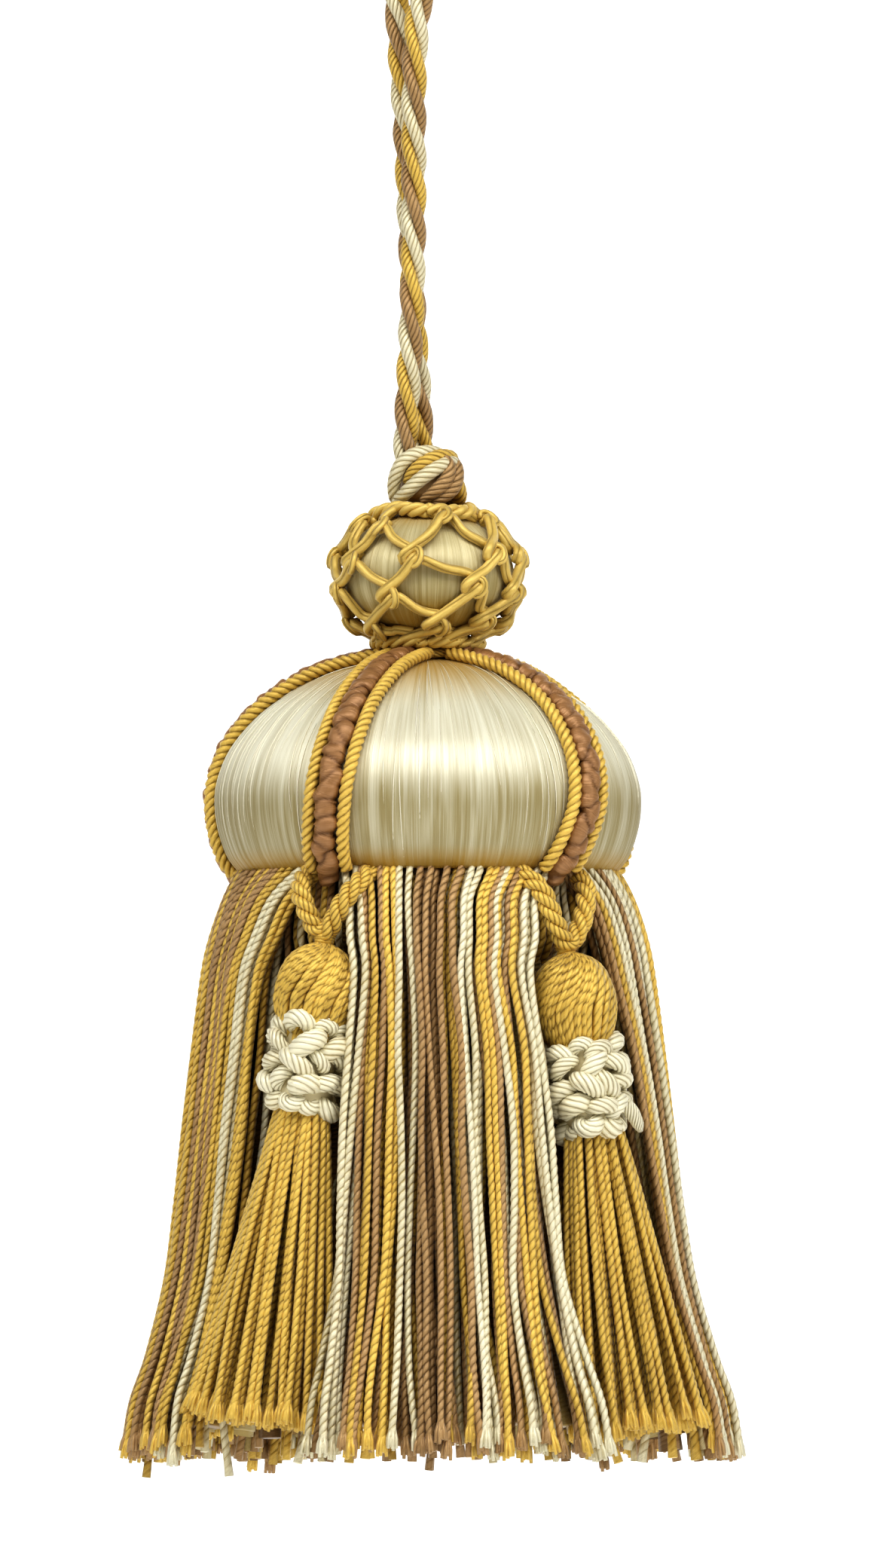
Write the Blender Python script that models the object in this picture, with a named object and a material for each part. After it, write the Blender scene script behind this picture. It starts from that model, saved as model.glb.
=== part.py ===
"""A hanging silk tassel, built the way a trimmings maker builds it.

A doubled cord hangs from its loop and runs down into a wrapped knot. Below it are a floss-wound
ball in a knotted net, a floss-wound dome with five ribs, a skirt of twisted yarn, and five small
tassels, one under each rib. Metres, +Z up. The origin is the inside top of the loop, and the
front of the tassel faces -Y.
"""

import math
import random

import bmesh
import bpy
from mathutils import Matrix, Vector

MM = 0.001
GAP = 0.3 * MM
PLIES = 3
SHARP_ANGLE = 60

# Heights down the tassel, measured from the inside top of the loop.
KNOT_TOP = -100.0 * MM
BALL_CENTRE = -121.3 * MM
RIM = -169.3 * MM
SMALL_TOP = -181.9 * MM
SKIRT_END = -263.6 * MM

# The hanging cord.
CORD_RADIUS = 2.1 * MM
CORD_PITCH = 18.8 * MM
CORD_STEP = 2.2 * MM
CORD_VALLEY = 0.66
LOOP_RADIUS = 8.6 * MM
LOOP_CENTRE = CORD_RADIUS - LOOP_RADIUS

# The knot: radius and height of its outline below its top, and the slanting ridges of its turns.
KNOT_OUTLINE = (
    (0.0, 0.0), (4.6, 0.0), (5.6, -1.4), (6.1, -3.3), (6.2, -5.2), (5.9, -7.2), (5.2, -9.0), (4.2, -9.6),
    (0.0, -9.6),
)
KNOT_AXIS_X = -0.4 * MM
KNOT_SEGMENTS = 20
KNOT_TURNS = 3
KNOT_RIDGE = 0.09
KNOT_SLANT = 0.55
KNOT_RIDGED_BEYOND = 5.1 * MM

# The ball and its net.
BALL_RADIUS = 14.1 * MM
BALL_HALF_HEIGHT = 10.9 * MM
BALL_SEGMENTS = 24
BALL_ROWS = 9
NET_SHARP_ANGLE = 80
NET_RISE = 1.25 * MM
NET_THICKNESS = 1.4 * MM
NET_HALF_WIDTH = 0.78 * MM
NET_KNOT_LIFT = 0.55 * MM
NET_STRAND_LIFT = 0.25 * MM
NET_COLUMNS = 8
NET_LATITUDES = (62, 44, 15, -13, -38, -61, -78)
NET_FIRST_AZIMUTH = 31.8
NET_ROW_SHIFT = -20.0

# The dome: radius and height of its outline, from the crown to the rim.
DOME_OUTLINE = (
    (0.0, -134.4), (6.0, -134.9), (12.0, -136.0), (18.0, -137.9), (23.6, -141.0), (28.2, -144.6),
    (32.2, -149.6), (34.2, -154.4), (34.7, -158.2), (34.2, -162.6), (32.7, -167.0), (31.0, RIM / MM),
)
DOME_SEGMENTS = 36
DOME_ROWS = 12
DOME_SHARP_ANGLE = 40
RECESS_RADIUS = 29.2 * MM
RECESS_TOP = -166.5 * MM

# The ribs, each a crimped wrap between two twisted cords. They start at this share of the outline.
RIB_AZIMUTHS = (-28, 44, 116, 188, 260)
RIB_START = 0.175
RIB_HALF_WIDTH = 1.85 * MM
RIB_HALF_HEIGHT = 1.15 * MM
RIB_CRIMPS = 10
RIB_CORNERS = 6
RIB_PINCH = 0.86
RIB_TAPER = 0.72
RIB_TAPER_SHARE = 0.45
RIB_TIP = 0.6
RIB_TIP_STEP = (0.0, 0.7 * MM, -1.3 * MM)
EDGE_RADIUS = 1.1 * MM
EDGE_END = 0.985
EDGE_TURN = 50
EDGE_CORNERS = 5
EDGE_STEPS = 12
EDGE_OFFSET = RIB_HALF_WIDTH + GAP + EDGE_RADIUS

# The skirt's heading, hidden in the dome's recess, and its strands.
HEADING_RADII = (16.6, 19.6, 22.6, 25.6, 28.6)
HEADING_TOP = RECESS_TOP - GAP
HEADING_BOTTOM = -169.2 * MM
CELLS_AROUND = 35
CELLS_PER_SECTOR = 14
ROOT_INSET = 0.42 * MM
END_JITTER = 0.7 * MM
SKIRT_SEED = 11

# How a strand of each kind falls: rows of radius, height, thickness and the room that it leaves
# on each side for a small tassel, in millimetres. A height of None is the skirt's end.
FRONT_FALL = (
    (33.4, -174.6, 1.2, 9.4), (37.6, -192.0, 1.3, 9.9), (40.4, -228.0, 1.45, 10.4), (49.0, None, 1.55, 16.0),
)
SECOND_FALL = (
    (30.4, -176.0, 1.2, 8.6), (34.6, -192.0, 1.3, 9.6), (37.4, -228.0, 1.4, 10.2), (45.4, None, 1.5, 15.6),
)
BEHIND_FALL = ((26.4, -178.0, 1.1, 0), (27.6, -204.0, 1.2, 0), (36.4, None, 1.35, 0))
MIDDLE_FALL = ((23.4, -178.0, 1.1, 0), (24.8, -204.0, 1.2, 0), (32.9, None, 1.35, 0))
INNER_FALL = ((19.0, -186.0, 1.1, 0), (26.4, None, 1.35, 0))

# Strands of each sector: row of the heading, its cells, their fall, and the first one's share of
# the way from one small tassel to the next. A row with no share hangs straight from its roots.
SHARE_STEP = 0.1
SKIRT_ROWS = (
    (3, range(2, 12), FRONT_FALL, 0.05),
    (2, range(3, 12), SECOND_FALL, 0.1),
    (2, (0, 1, 2, 12, 13), BEHIND_FALL, None),
    (1, range(CELLS_PER_SECTOR), MIDDLE_FALL, None),
    (0, (1, 4, 7, 10), INNER_FALL, None),
)

# The small tassels. The outline is depth and radius, and the fall is depth and thickness.
SMALL_RADIUS_AT_TOP = 35.6 * MM
SMALL_LEAN = 7.3
SMALL_SWINGS = (4.6, 0.0, -1.5, 2.0, -2.5)
SMALL_OUTLINE = (
    (0.0, 0.0), (0.3, 1.3), (1.3, 3.6), (3.4, 5.5), (6.6, 6.5), (9.8, 6.4), (12.4, 5.4), (13.9, 3.9),
    (31.0, 3.9),
)
SMALL_SEGMENTS = 12
SMALL_SEED = 5
SMALL_LENGTH = 78.0 * MM
SMALL_SPREAD = (12.0 * MM, 4.9 * MM)
SMALL_CORE_SPREAD = (5.4 * MM, 1.8 * MM)
SMALL_FALL = ((39.0, 0.85), (57.0, 1.15), (None, 1.35))
SMALL_FLARE = 0.85
SMALL_END_JITTER = 0.8 * MM
SMALL_ROOT_INSET = 0.22 * MM
COLLAR_TOP = -14.2 * MM
COLLAR_BOTTOM = -30.4 * MM
COLLAR_BORE = 4.2 * MM
COLLAR_RADIUS = 6.9 * MM
COLLAR_BUMP = 1.0 * MM
COLLAR_SEGMENTS = 16
COLLAR_ROWS = 5
COLLAR_END_SHARE = 0.86
SWAG_RADIUS = 1.2 * MM
SWAG_STEP = 2.0 * MM
SWAG_VALLEY = 0.78

# Colours as linear RGB.
CREAM = (0.80, 0.74, 0.50)
GOLD = (0.60, 0.38, 0.10)
TAUPE = (0.36, 0.22, 0.11)

# Routes of cords: across, towards the back, up; in millimetres from the origin.
FRONT_LEG = (
    (-3.6, -2.1, -99.7), (-3.3, -2.3, -92), (-2.8, -2.3, -82), (-2.4, -2.3, -70), (-2.3, -2.3, -58),
    (-2.3, -2.3, -46), (-2.1, -2.3, -36), (-1.2, -2.1, -27.3), (1.6, -1.5, -20), (5.6, -0.6, -13.6),
)
BACK_LEG = (
    (-7.8, 0.6, -13.6), (-6.5, 1.6, -20), (-5.2, 2.2, -27.3), (-4.5, 2.3, -36), (-3.8, 2.3, -46),
    (-3.2, 2.3, -58), (-2.7, 2.3, -70), (-2.1, 2.3, -82), (-1.4, 2.3, -92), (-1.0, 2.1, -99.7),
)
LOOP_ANGLES = (-8, 16, 40, 65, 90, 115, 140, 164, 188)
SWAG_LEG = ((-5.0, -30.4, -169.7), (-4.7, -32.4, -172.4), (-3.4, -34.4, -176.0), (-1.5, -35.5, -179.4))
SWAG_FOOT = (0.0, -35.6, -180.3)


def material(name, colour, roughness):
    """A Principled material of one colour."""
    made = bpy.data.materials.new(name)
    made.use_nodes = True
    shader = made.node_tree.nodes["Principled BSDF"]
    shader.inputs["Base Color"].default_value = (*colour, 1.0)
    shader.inputs["Roughness"].default_value = roughness
    shader.inputs["Metallic"].default_value = 0.0
    return made


def mesh_of(name, bm, finish, sharp_angle=SHARP_ANGLE):
    """Closes a bmesh into a smooth shaded mesh with one material."""
    bmesh.ops.recalc_face_normals(bm, faces=bm.faces)
    mesh = bpy.data.meshes.new(name)
    bm.to_mesh(mesh)
    bm.free()
    mesh.materials.append(finish)
    mesh.shade_smooth()
    mesh.set_sharp_from_angle(angle=math.radians(sharp_angle))
    return mesh


def place(name, mesh, parent=None, location=(0, 0, 0), rotation=(0, 0, 0)):
    """An object of that mesh in the scene."""
    made = bpy.data.objects.new(name, mesh)
    bpy.context.scene.collection.objects.link(made)
    made.parent = parent
    made.location = location
    made.rotation_euler = rotation
    return made


def polar(radius, azimuth, height):
    """A point at an azimuth in degrees from the front, turning towards +X."""
    turn = math.radians(azimuth)
    return Vector((radius * math.sin(turn), -radius * math.cos(turn), height))


def smooth_route(points, step):
    """Evenly spaced points on a smooth curve through the given ones."""
    points = [Vector(p) for p in points]
    padded = [2 * points[0] - points[1], *points, 2 * points[-1] - points[-2]]
    fine = []
    pieces = 12
    for before, start, end, after in zip(padded, padded[1:], padded[2:], padded[3:]):
        for k in range(pieces):
            t = k / pieces
            fine.append(
                0.5 * (2 * start + (end - before) * t + (2 * before - 5 * start + 4 * end - after) * t**2
                       + (3 * start - before - 3 * end + after) * t**3)
            )
    fine.append(points[-1])
    lengths = [0.0]
    for a, b in zip(fine, fine[1:]):
        lengths.append(lengths[-1] + (b - a).length)
    count = max(2, round(lengths[-1] / step))
    made = []
    k = 0
    for i in range(count + 1):
        wanted = lengths[-1] * i / count
        while k < len(fine) - 2 and lengths[k + 1] < wanted:
            k += 1
        share = (wanted - lengths[k]) / (lengths[k + 1] - lengths[k])
        made.append(fine[k].lerp(fine[k + 1], min(1.0, share)))
    return made


def frames_along(centres, first_side):
    """For each centre, two directions across the route that turn as little as they can."""
    made = []
    side = Vector(first_side)
    for i in range(len(centres)):
        ahead = centres[min(i + 1, len(centres) - 1)] - centres[max(i - 1, 0)]
        ahead.normalize()
        side = (side - ahead * side.dot(ahead)).normalized()
        made.append((side, ahead.cross(side)))
    return made


def sweep(centres, section, first_side=(1, 0, 0)):
    """A closed tube along the centres; section(i) gives its outline at centre i as (side, rise) pairs."""
    bm = bmesh.new()
    rings = []
    for i, (centre, (side, rise)) in enumerate(zip(centres, frames_along(centres, first_side))):
        rings.append([bm.verts.new(centre + side * u + rise * v) for u, v in section(i)])
    for low, high in zip(rings, rings[1:]):
        count = len(low)
        for k in range(count):
            bm.faces.new((low[k], low[(k + 1) % count], high[(k + 1) % count], high[k]))
    bm.faces.new(rings[0])
    bm.faces.new(rings[-1])
    return bm


def lobed(radius, lobes, turn, valley):
    """A star outline with one peak and one valley for each lobe, turned by an angle in radians."""
    outline = []
    for k in range(2 * lobes):
        reach = radius if k % 2 == 0 else radius * valley
        angle = turn + math.pi * k / lobes
        outline.append((reach * math.cos(angle), reach * math.sin(angle)))
    return outline


def lathe(outline, segments):
    """A surface turned about Z from (radius, height) pairs; points on the axis become its poles."""
    bm = bmesh.new()
    profile = [bm.verts.new((radius, 0, height)) for radius, height in outline]
    edges = [bm.edges.new(pair) for pair in zip(profile, profile[1:])]
    bmesh.ops.spin(bm, geom=profile + edges, axis=(0, 0, 1), cent=(0, 0, 0), angle=2 * math.pi,
                   steps=segments, use_duplicate=False)
    bmesh.ops.remove_doubles(bm, verts=bm.verts, dist=1e-6)
    return bm


def dome_point(travel, rise):
    """(radius, height) on the dome's outline at a share of its length, lifted off it by rise."""
    outline = [Vector((radius * MM, 0, height * MM)) for radius, height in DOME_OUTLINE]
    route = smooth_route(outline, 0.5 * MM)
    at = travel * (len(route) - 1)
    k = min(int(at), len(route) - 2)
    point = route[k].lerp(route[k + 1], at - k)
    ahead = (route[k + 1] - route[k]).normalized()
    normal = Vector((-ahead.z, 0, ahead.x))
    return point.x + normal.x * rise, point.z + normal.z * rise


def hanging_loop(finish):
    """The cord: up from the knot, over the hook and back down beside itself, three plies twisted."""
    arch = [
        Vector((LOOP_RADIUS * math.cos(angle), 0, LOOP_CENTRE + LOOP_RADIUS * math.sin(angle)))
        for angle in map(math.radians, LOOP_ANGLES)
    ]
    route = [Vector(p) * MM for p in FRONT_LEG] + arch + [Vector(p) * MM for p in BACK_LEG]
    centres = smooth_route(route, CORD_STEP)
    turn_per_step = -2 * math.pi * CORD_STEP / CORD_PITCH

    def section(i):
        return lobed(CORD_RADIUS, PLIES, turn_per_step * i, CORD_VALLEY)

    return place("hanging_loop", mesh_of("hanging_loop", sweep(centres, section), finish))


def top_knot(finish):
    """The cord's wrapped knot above the ball, its turns raised as slanting ridges."""
    bm = lathe([(radius * MM, height * MM) for radius, height in KNOT_OUTLINE], KNOT_SEGMENTS)
    for vert in bm.verts:
        if math.hypot(vert.co.x, vert.co.y) > KNOT_RIDGED_BEYOND:
            around = math.atan2(vert.co.y, vert.co.x)
            lift = 1 + KNOT_RIDGE * math.cos(KNOT_TURNS * around + KNOT_SLANT * vert.co.z / MM)
            vert.co.x *= lift
            vert.co.y *= lift
    return place("top_knot", mesh_of("top_knot", bm, finish), location=(KNOT_AXIS_X, 0, KNOT_TOP))


def ball(finish):
    """The floss-wound ball."""
    outline = []
    for k in range(BALL_ROWS + 1):
        angle = math.pi * (0.5 - k / BALL_ROWS)
        radius = BALL_RADIUS * math.cos(angle) if 0 < k < BALL_ROWS else 0.0
        outline.append((radius, BALL_HALF_HEIGHT * math.sin(angle)))
    return place("ball", mesh_of("ball", lathe(outline, BALL_SEGMENTS), finish), location=(0, 0, BALL_CENTRE))


def net_point(azimuth, latitude, lift):
    """A point over the ball, lift above the middle of the net's thickness."""
    rise = NET_RISE + lift
    tilt = math.radians(latitude)
    return polar((BALL_RADIUS + rise) * math.cos(tilt), azimuth, (BALL_HALF_HEIGHT + rise) * math.sin(tilt))


def ball_net(finish):
    """The knotted net: slanting rows of cells, its strands joined at raised knots."""
    bm = bmesh.new()
    pitch = 360 / NET_COLUMNS
    last = len(NET_LATITUDES) - 1
    made = {}

    def azimuth_of(row, column):
        return NET_FIRST_AZIMUTH + NET_ROW_SHIFT * row + pitch * column

    def knot(row, column):
        key = (row, column % NET_COLUMNS)
        if key not in made:
            made[key] = bm.verts.new(net_point(azimuth_of(row, column), NET_LATITUDES[row], NET_KNOT_LIFT))
        return made[key]

    def middle(first, second):
        ends = [(row, column % NET_COLUMNS) for row, column in (first, second)]
        key = frozenset(ends)
        if key not in made:
            azimuth = sum(azimuth_of(*end) for end in (first, second)) / 2
            latitude = sum(NET_LATITUDES[end[0]] for end in (first, second)) / 2
            made[key] = bm.verts.new(net_point(azimuth, latitude, NET_STRAND_LIFT))
        return made[key]

    def cell(corners):
        outline = []
        for k, corner in enumerate(corners):
            following = corners[(k + 1) % len(corners)]
            outline += [knot(*corner), middle(corner, following)]
        return bm.faces.new(outline)

    cells = []
    for column in range(NET_COLUMNS):
        cells.append(cell([(0, column), (1, column + 1), (0, column + 1)]))
        for row in range(last - 1):
            sides = (row + 1, column), (row + 1, column + 1)
            cells.append(cell([(row, column), sides[0], (row + 2, column + 1), sides[1]]))
        cells.append(cell([(last - 1, column), (last, column), (last, column + 1)]))
    bmesh.ops.recalc_face_normals(bm, faces=bm.faces)
    bmesh.ops.inset_individual(bm, faces=cells, thickness=NET_HALF_WIDTH, use_even_offset=True)
    bmesh.ops.delete(bm, geom=cells, context="FACES_ONLY")
    mesh = mesh_of("ball_net", bm, finish, NET_SHARP_ANGLE)
    made_net = place("ball_net", mesh, location=(0, 0, BALL_CENTRE))
    shell = made_net.modifiers.new("thickness", "SOLIDIFY")
    shell.thickness = NET_THICKNESS
    shell.offset = 0.0
    return made_net


def dome(finish):
    """The floss-wound dome, with a recess under it that holds the skirt's heading."""
    outline = [(0.0, DOME_OUTLINE[0][1] * MM)]
    outline += [dome_point(k / DOME_ROWS, 0.0) for k in range(1, DOME_ROWS + 1)]
    outline += [(RECESS_RADIUS, RIM), (RECESS_RADIUS, RECESS_TOP), (0.0, RECESS_TOP)]
    return place("dome", mesh_of("dome", lathe(outline, DOME_SEGMENTS), finish, DOME_SHARP_ANGLE))


def rib_route(across, rise, start, end, count):
    """Centres of a cord laid down the dome's front, offset sideways by across."""
    centres = []
    for k in range(count + 1):
        radius, height = dome_point(start + (end - start) * k / count, rise)
        centres.append(Vector((across, -math.sqrt(radius**2 - across**2), height)))
    return centres


def rib_mesh(finish):
    """A crimped rib: a flattened wrap that swells and pinches down its length."""
    count = 2 * RIB_CRIMPS
    centres = rib_route(0.0, RIB_HALF_HEIGHT + GAP, RIB_START, 1.0, count - 1)
    centres.append(centres[-1] + Vector(RIB_TIP_STEP))

    def section(i):
        taper = RIB_TAPER + (1 - RIB_TAPER) * min(1.0, i / (RIB_TAPER_SHARE * count))
        crimp = 1.0 if i % 2 else RIB_PINCH
        if i == count:
            crimp = RIB_TIP
        outline = []
        for k in range(RIB_CORNERS):
            angle = 2 * math.pi * k / RIB_CORNERS
            outline.append((RIB_HALF_WIDTH * taper * crimp * math.cos(angle),
                            RIB_HALF_HEIGHT * taper * crimp * math.sin(angle)))
        return outline

    return mesh_of("rib", sweep(centres, section), finish)


def edge_cord_mesh(name, side, finish):
    """One of the two twisted cords that lie along a rib."""
    centres = rib_route(side * EDGE_OFFSET, EDGE_RADIUS + GAP, RIB_START, EDGE_END, EDGE_STEPS)
    turn = math.radians(EDGE_TURN)

    def section(i):
        angles = [turn * i + 2 * math.pi * k / EDGE_CORNERS for k in range(EDGE_CORNERS)]
        return [(EDGE_RADIUS * math.cos(angle), EDGE_RADIUS * math.sin(angle)) for angle in angles]

    return mesh_of(name, sweep(centres, section), finish)


def small_azimuth(index, height):
    """Where around the tassel a small tassel hangs at a height, its swing included."""
    down = max(0.0, SMALL_TOP - height)
    radius = SMALL_RADIUS_AT_TOP + down * math.tan(math.radians(SMALL_LEAN))
    aside = -down * math.tan(math.radians(SMALL_SWINGS[index]))
    return RIB_AZIMUTHS[index] + math.degrees(math.atan2(aside, radius))


def heading_cells(bm):
    """The heading's ring, its underside cut into triangles; gives {(row, cell): face}."""
    step = 360 / CELLS_AROUND
    rings = []
    for row, radius in enumerate(HEADING_RADII):
        stagger = 0.5 * (row % 2)
        rings.append([bm.verts.new(polar(radius * MM, RIB_AZIMUTHS[0] + step * (i + stagger), HEADING_BOTTOM))
                      for i in range(CELLS_AROUND)])
    cells = {}
    for row, (inner, outer) in enumerate(zip(rings, rings[1:])):
        for i in range(CELLS_AROUND):
            after = (i + 1) % CELLS_AROUND
            if row % 2 == 0:
                pair = ((inner[i], inner[after], outer[i]), (outer[i], outer[after], inner[after]))
            else:
                pair = ((outer[i], outer[after], inner[i]), (inner[i], inner[after], outer[after]))
            for half, corners in enumerate(pair):
                cells[row, 2 * i + half] = bm.faces.new(corners)
    lids = []
    for ring, radius in ((rings[0], HEADING_RADII[0]), (rings[-1], HEADING_RADII[-1])):
        lids.append([bm.verts.new(polar(radius * MM, RIB_AZIMUTHS[0] + step * i, HEADING_TOP))
                     for i in range(CELLS_AROUND)])
        for i in range(CELLS_AROUND):
            after = (i + 1) % CELLS_AROUND
            bm.faces.new((ring[i], ring[after], lids[-1][after], lids[-1][i]))
    for i in range(CELLS_AROUND):
        after = (i + 1) % CELLS_AROUND
        bm.faces.new((lids[0][i], lids[0][after], lids[1][after], lids[1][i]))
    return cells


def parted_azimuth(sector, share, radius, height, room):
    """The azimuth of a strand that keeps its share of the way between two small tassels."""
    following = (sector + 1) % len(RIB_AZIMUTHS)
    first = small_azimuth(sector, height)
    second = small_azimuth(following, height) + (360 if following == 0 else 0)
    aside = math.degrees(math.asin(room * MM / radius))
    return first + aside + share * (second - first - 2 * aside)


def grow_strand(bm, face, places):
    """Extrudes a root face into a strand; places holds (centre, azimuth, reach) down its length."""
    centre = face.calc_center_median()
    azimuth = math.atan2(centre.x, -centre.y)
    turn = Matrix.Rotation(-azimuth, 3, "Z")
    offsets = [(turn @ (vert.co - centre)).normalized() for vert in face.verts]
    for middle, at, reach in places:
        grown = bmesh.ops.extrude_discrete_faces(bm, faces=[face])["faces"]
        face = grown[0]
        spin = Matrix.Rotation(math.radians(at), 3, "Z")
        for vert, offset in zip(face.verts, offsets):
            vert.co = middle + spin @ offset * reach


def skirt(finish):
    """The skirt of twisted yarn: strands parted round the small tassels, and three rows behind."""
    dice = random.Random(SKIRT_SEED)
    bm = bmesh.new()
    cells = heading_cells(bm)
    chosen = []
    for sector in range(len(RIB_AZIMUTHS)):
        for row, columns, fall, first_share in SKIRT_ROWS:
            for k, column in enumerate(columns):
                share = None if first_share is None else first_share + SHARE_STEP * k
                chosen.append((cells[row, sector * CELLS_PER_SECTOR + column], fall, sector, share))
    roots = [entry[0] for entry in chosen]
    bmesh.ops.inset_individual(bm, faces=roots, thickness=ROOT_INSET, use_even_offset=True)
    for face, fall, sector, share in chosen:
        centre = face.calc_center_median()
        root_azimuth = math.degrees(math.atan2(centre.x, -centre.y))
        places = []
        for radius, height, reach, room in fall:
            radius = radius * MM
            height = SKIRT_END + dice.uniform(-1, 1) * END_JITTER if height is None else height * MM
            at = root_azimuth if share is None else parted_azimuth(sector, share, radius, height, room)
            places.append((polar(radius, at, height), at, reach * MM))
        grow_strand(bm, face, places)
    return place("skirt", mesh_of("skirt", bm, finish))


def small_tassel_mesh(finish):
    """A small tassel: a wound head, a neck, and strands that spread below it, hanging down -Z."""
    bm = lathe([(radius * MM, -depth * MM) for depth, radius in SMALL_OUTLINE], SMALL_SEGMENTS)
    neck_depth = SMALL_OUTLINE[-1][0]
    rim = sorted((vert for vert in bm.verts if vert.co.z < -(neck_depth - 0.1) * MM),
                 key=lambda vert: math.atan2(vert.co.y, vert.co.x) % (2 * math.pi))
    half = SMALL_SEGMENTS // 2
    core = [bm.verts.new(rim[2 * i].co.lerp(rim[2 * i + 1].co, 0.5) * 0.5) for i in range(half)]
    for vert in core:
        vert.co.z = -neck_depth * MM
    outer, inner = [], []
    for i in range(half):
        after = (i + 1) % half
        outer.append(bm.faces.new((rim[2 * i], rim[2 * i + 1], core[i])))
        outer.append(bm.faces.new((rim[2 * i + 1], rim[2 * after], core[i])))
        inner.append(bm.faces.new((core[i], rim[2 * after], core[after])))
    bm.faces.new(core)
    roots = [(face, SMALL_SPREAD) for face in outer] + [(face, SMALL_CORE_SPREAD) for face in inner]
    bmesh.ops.recalc_face_normals(bm, faces=bm.faces)
    bmesh.ops.inset_individual(bm, faces=[face for face, _ in roots], thickness=SMALL_ROOT_INSET,
                               use_even_offset=True)
    dice = random.Random(SMALL_SEED)
    for face, spread in roots:
        centre = face.calc_center_median()
        angle = math.atan2(centre.x, centre.y)
        foot = Vector((spread[0] * math.sin(angle), spread[1] * math.cos(angle), 0))
        places = []
        for depth, reach in SMALL_FALL:
            down = SMALL_LENGTH + dice.uniform(-1, 1) * SMALL_END_JITTER if depth is None else depth * MM
            share = ((down - neck_depth * MM) / (SMALL_LENGTH - neck_depth * MM)) ** SMALL_FLARE
            middle = Vector((centre.x, centre.y, 0)).lerp(foot, share)
            middle.z = -down
            places.append((middle, math.degrees(math.atan2(centre.x, -centre.y)), reach * MM))
        grow_strand(bm, face, places)
    return mesh_of("small_tassel", bm, finish)


def collar_mesh(finish):
    """The knotted collar round a small tassel's neck: a ring of staggered lumps."""
    height = COLLAR_TOP - COLLAR_BOTTOM
    outline = [(COLLAR_BORE, COLLAR_TOP)]
    for k in range(COLLAR_ROWS):
        down = (k + 0.5) / COLLAR_ROWS
        share = COLLAR_END_SHARE + (1 - COLLAR_END_SHARE) * math.sin(math.pi * down)
        outline.append((COLLAR_RADIUS * share, COLLAR_TOP - height * down))
    outline += [(COLLAR_BORE, COLLAR_BOTTOM), (COLLAR_BORE, COLLAR_TOP)]
    bm = lathe(outline, COLLAR_SEGMENTS)
    for vert in bm.verts:
        radius = math.hypot(vert.co.x, vert.co.y)
        if radius > COLLAR_BORE + GAP:
            row = round((COLLAR_TOP - vert.co.z) / height * COLLAR_ROWS - 0.5)
            column = round(math.atan2(vert.co.y, vert.co.x) / (2 * math.pi) * COLLAR_SEGMENTS)
            lift = COLLAR_BUMP if (row + column // 2) % 2 else -0.5 * COLLAR_BUMP
            vert.co.x *= 1 + lift / radius
            vert.co.y *= 1 + lift / radius
    return mesh_of("collar", bm, finish)


def swag_mesh(finish):
    """The short cord that a small tassel hangs on: down from the rim, round, and up again."""
    route = [*SWAG_LEG, SWAG_FOOT, *((-x, y, z) for x, y, z in reversed(SWAG_LEG))]
    centres = smooth_route([Vector(p) * MM for p in route], SWAG_STEP)

    def section(i):
        return lobed(SWAG_RADIUS, PLIES, math.pi / PLIES * (i % 2), SWAG_VALLEY)

    return mesh_of("swag", sweep(centres, section, (0, 1, 0)), finish)


def main():
    for old in list(bpy.data.objects):
        bpy.data.objects.remove(old, do_unlink=True)
    cord_finish = material("three_colour_cord", TAUPE, 0.5)
    cream_floss = material("cream_floss", CREAM, 0.35)
    gold_gimp = material("gold_gimp", GOLD, 0.45)
    taupe_wrap = material("taupe_wrap", TAUPE, 0.5)
    skirt_yarn = material("skirt_yarn", GOLD, 0.5)
    cream_cord = material("cream_cord", CREAM, 0.5)

    hanging_loop(cord_finish)
    top_knot(cord_finish)
    ball(cream_floss)
    ball_net(gold_gimp)
    dome(cream_floss)
    skirt(skirt_yarn)

    rib = rib_mesh(taupe_wrap)
    edges = {
        "left": edge_cord_mesh("edge_cord_left", -1, gold_gimp),
        "right": edge_cord_mesh("edge_cord_right", 1, gold_gimp),
    }
    swag = swag_mesh(gold_gimp)
    small = small_tassel_mesh(gold_gimp)
    collar = collar_mesh(cream_cord)
    for index, (azimuth, swing) in enumerate(zip(RIB_AZIMUTHS, SMALL_SWINGS), start=1):
        spoke = place(f"spoke_{index}", None, rotation=(0, 0, math.radians(azimuth)))
        place(f"rib_{index}", rib, spoke)
        for side, mesh in edges.items():
            place(f"edge_cord_{index}_{side}", mesh, spoke)
        place(f"swag_{index}", swag, spoke)
        hook = place(f"hook_{index}", None, spoke, (0, -SMALL_RADIUS_AT_TOP, SMALL_TOP),
                     (math.radians(-SMALL_LEAN), math.radians(swing), 0))
        place(f"small_tassel_{index}", small, hook)
        place(f"collar_{index}", collar, hook)


main()
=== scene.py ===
"""The finished look of a hanging silk key tassel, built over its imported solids.

Cord, gimp, rib wrap, yarn and knots are swept along their own routes, strand by strand. The
floss on the ball and the dome is a turned surface, with loose locks laid on the dome. The
meshes are in metres, +Z up, with the origin at the inside top of the hanging loop and the
front of the tassel facing -Y. The sizes in the classes are in millimetres and degrees, and an
azimuth is measured from the front, turning towards +X.
"""

from __future__ import annotations

import logging
import math
import random
from dataclasses import dataclass, field
from enum import Enum

import bpy
import numpy as np
from mathutils import Euler, Matrix, Vector


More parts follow.
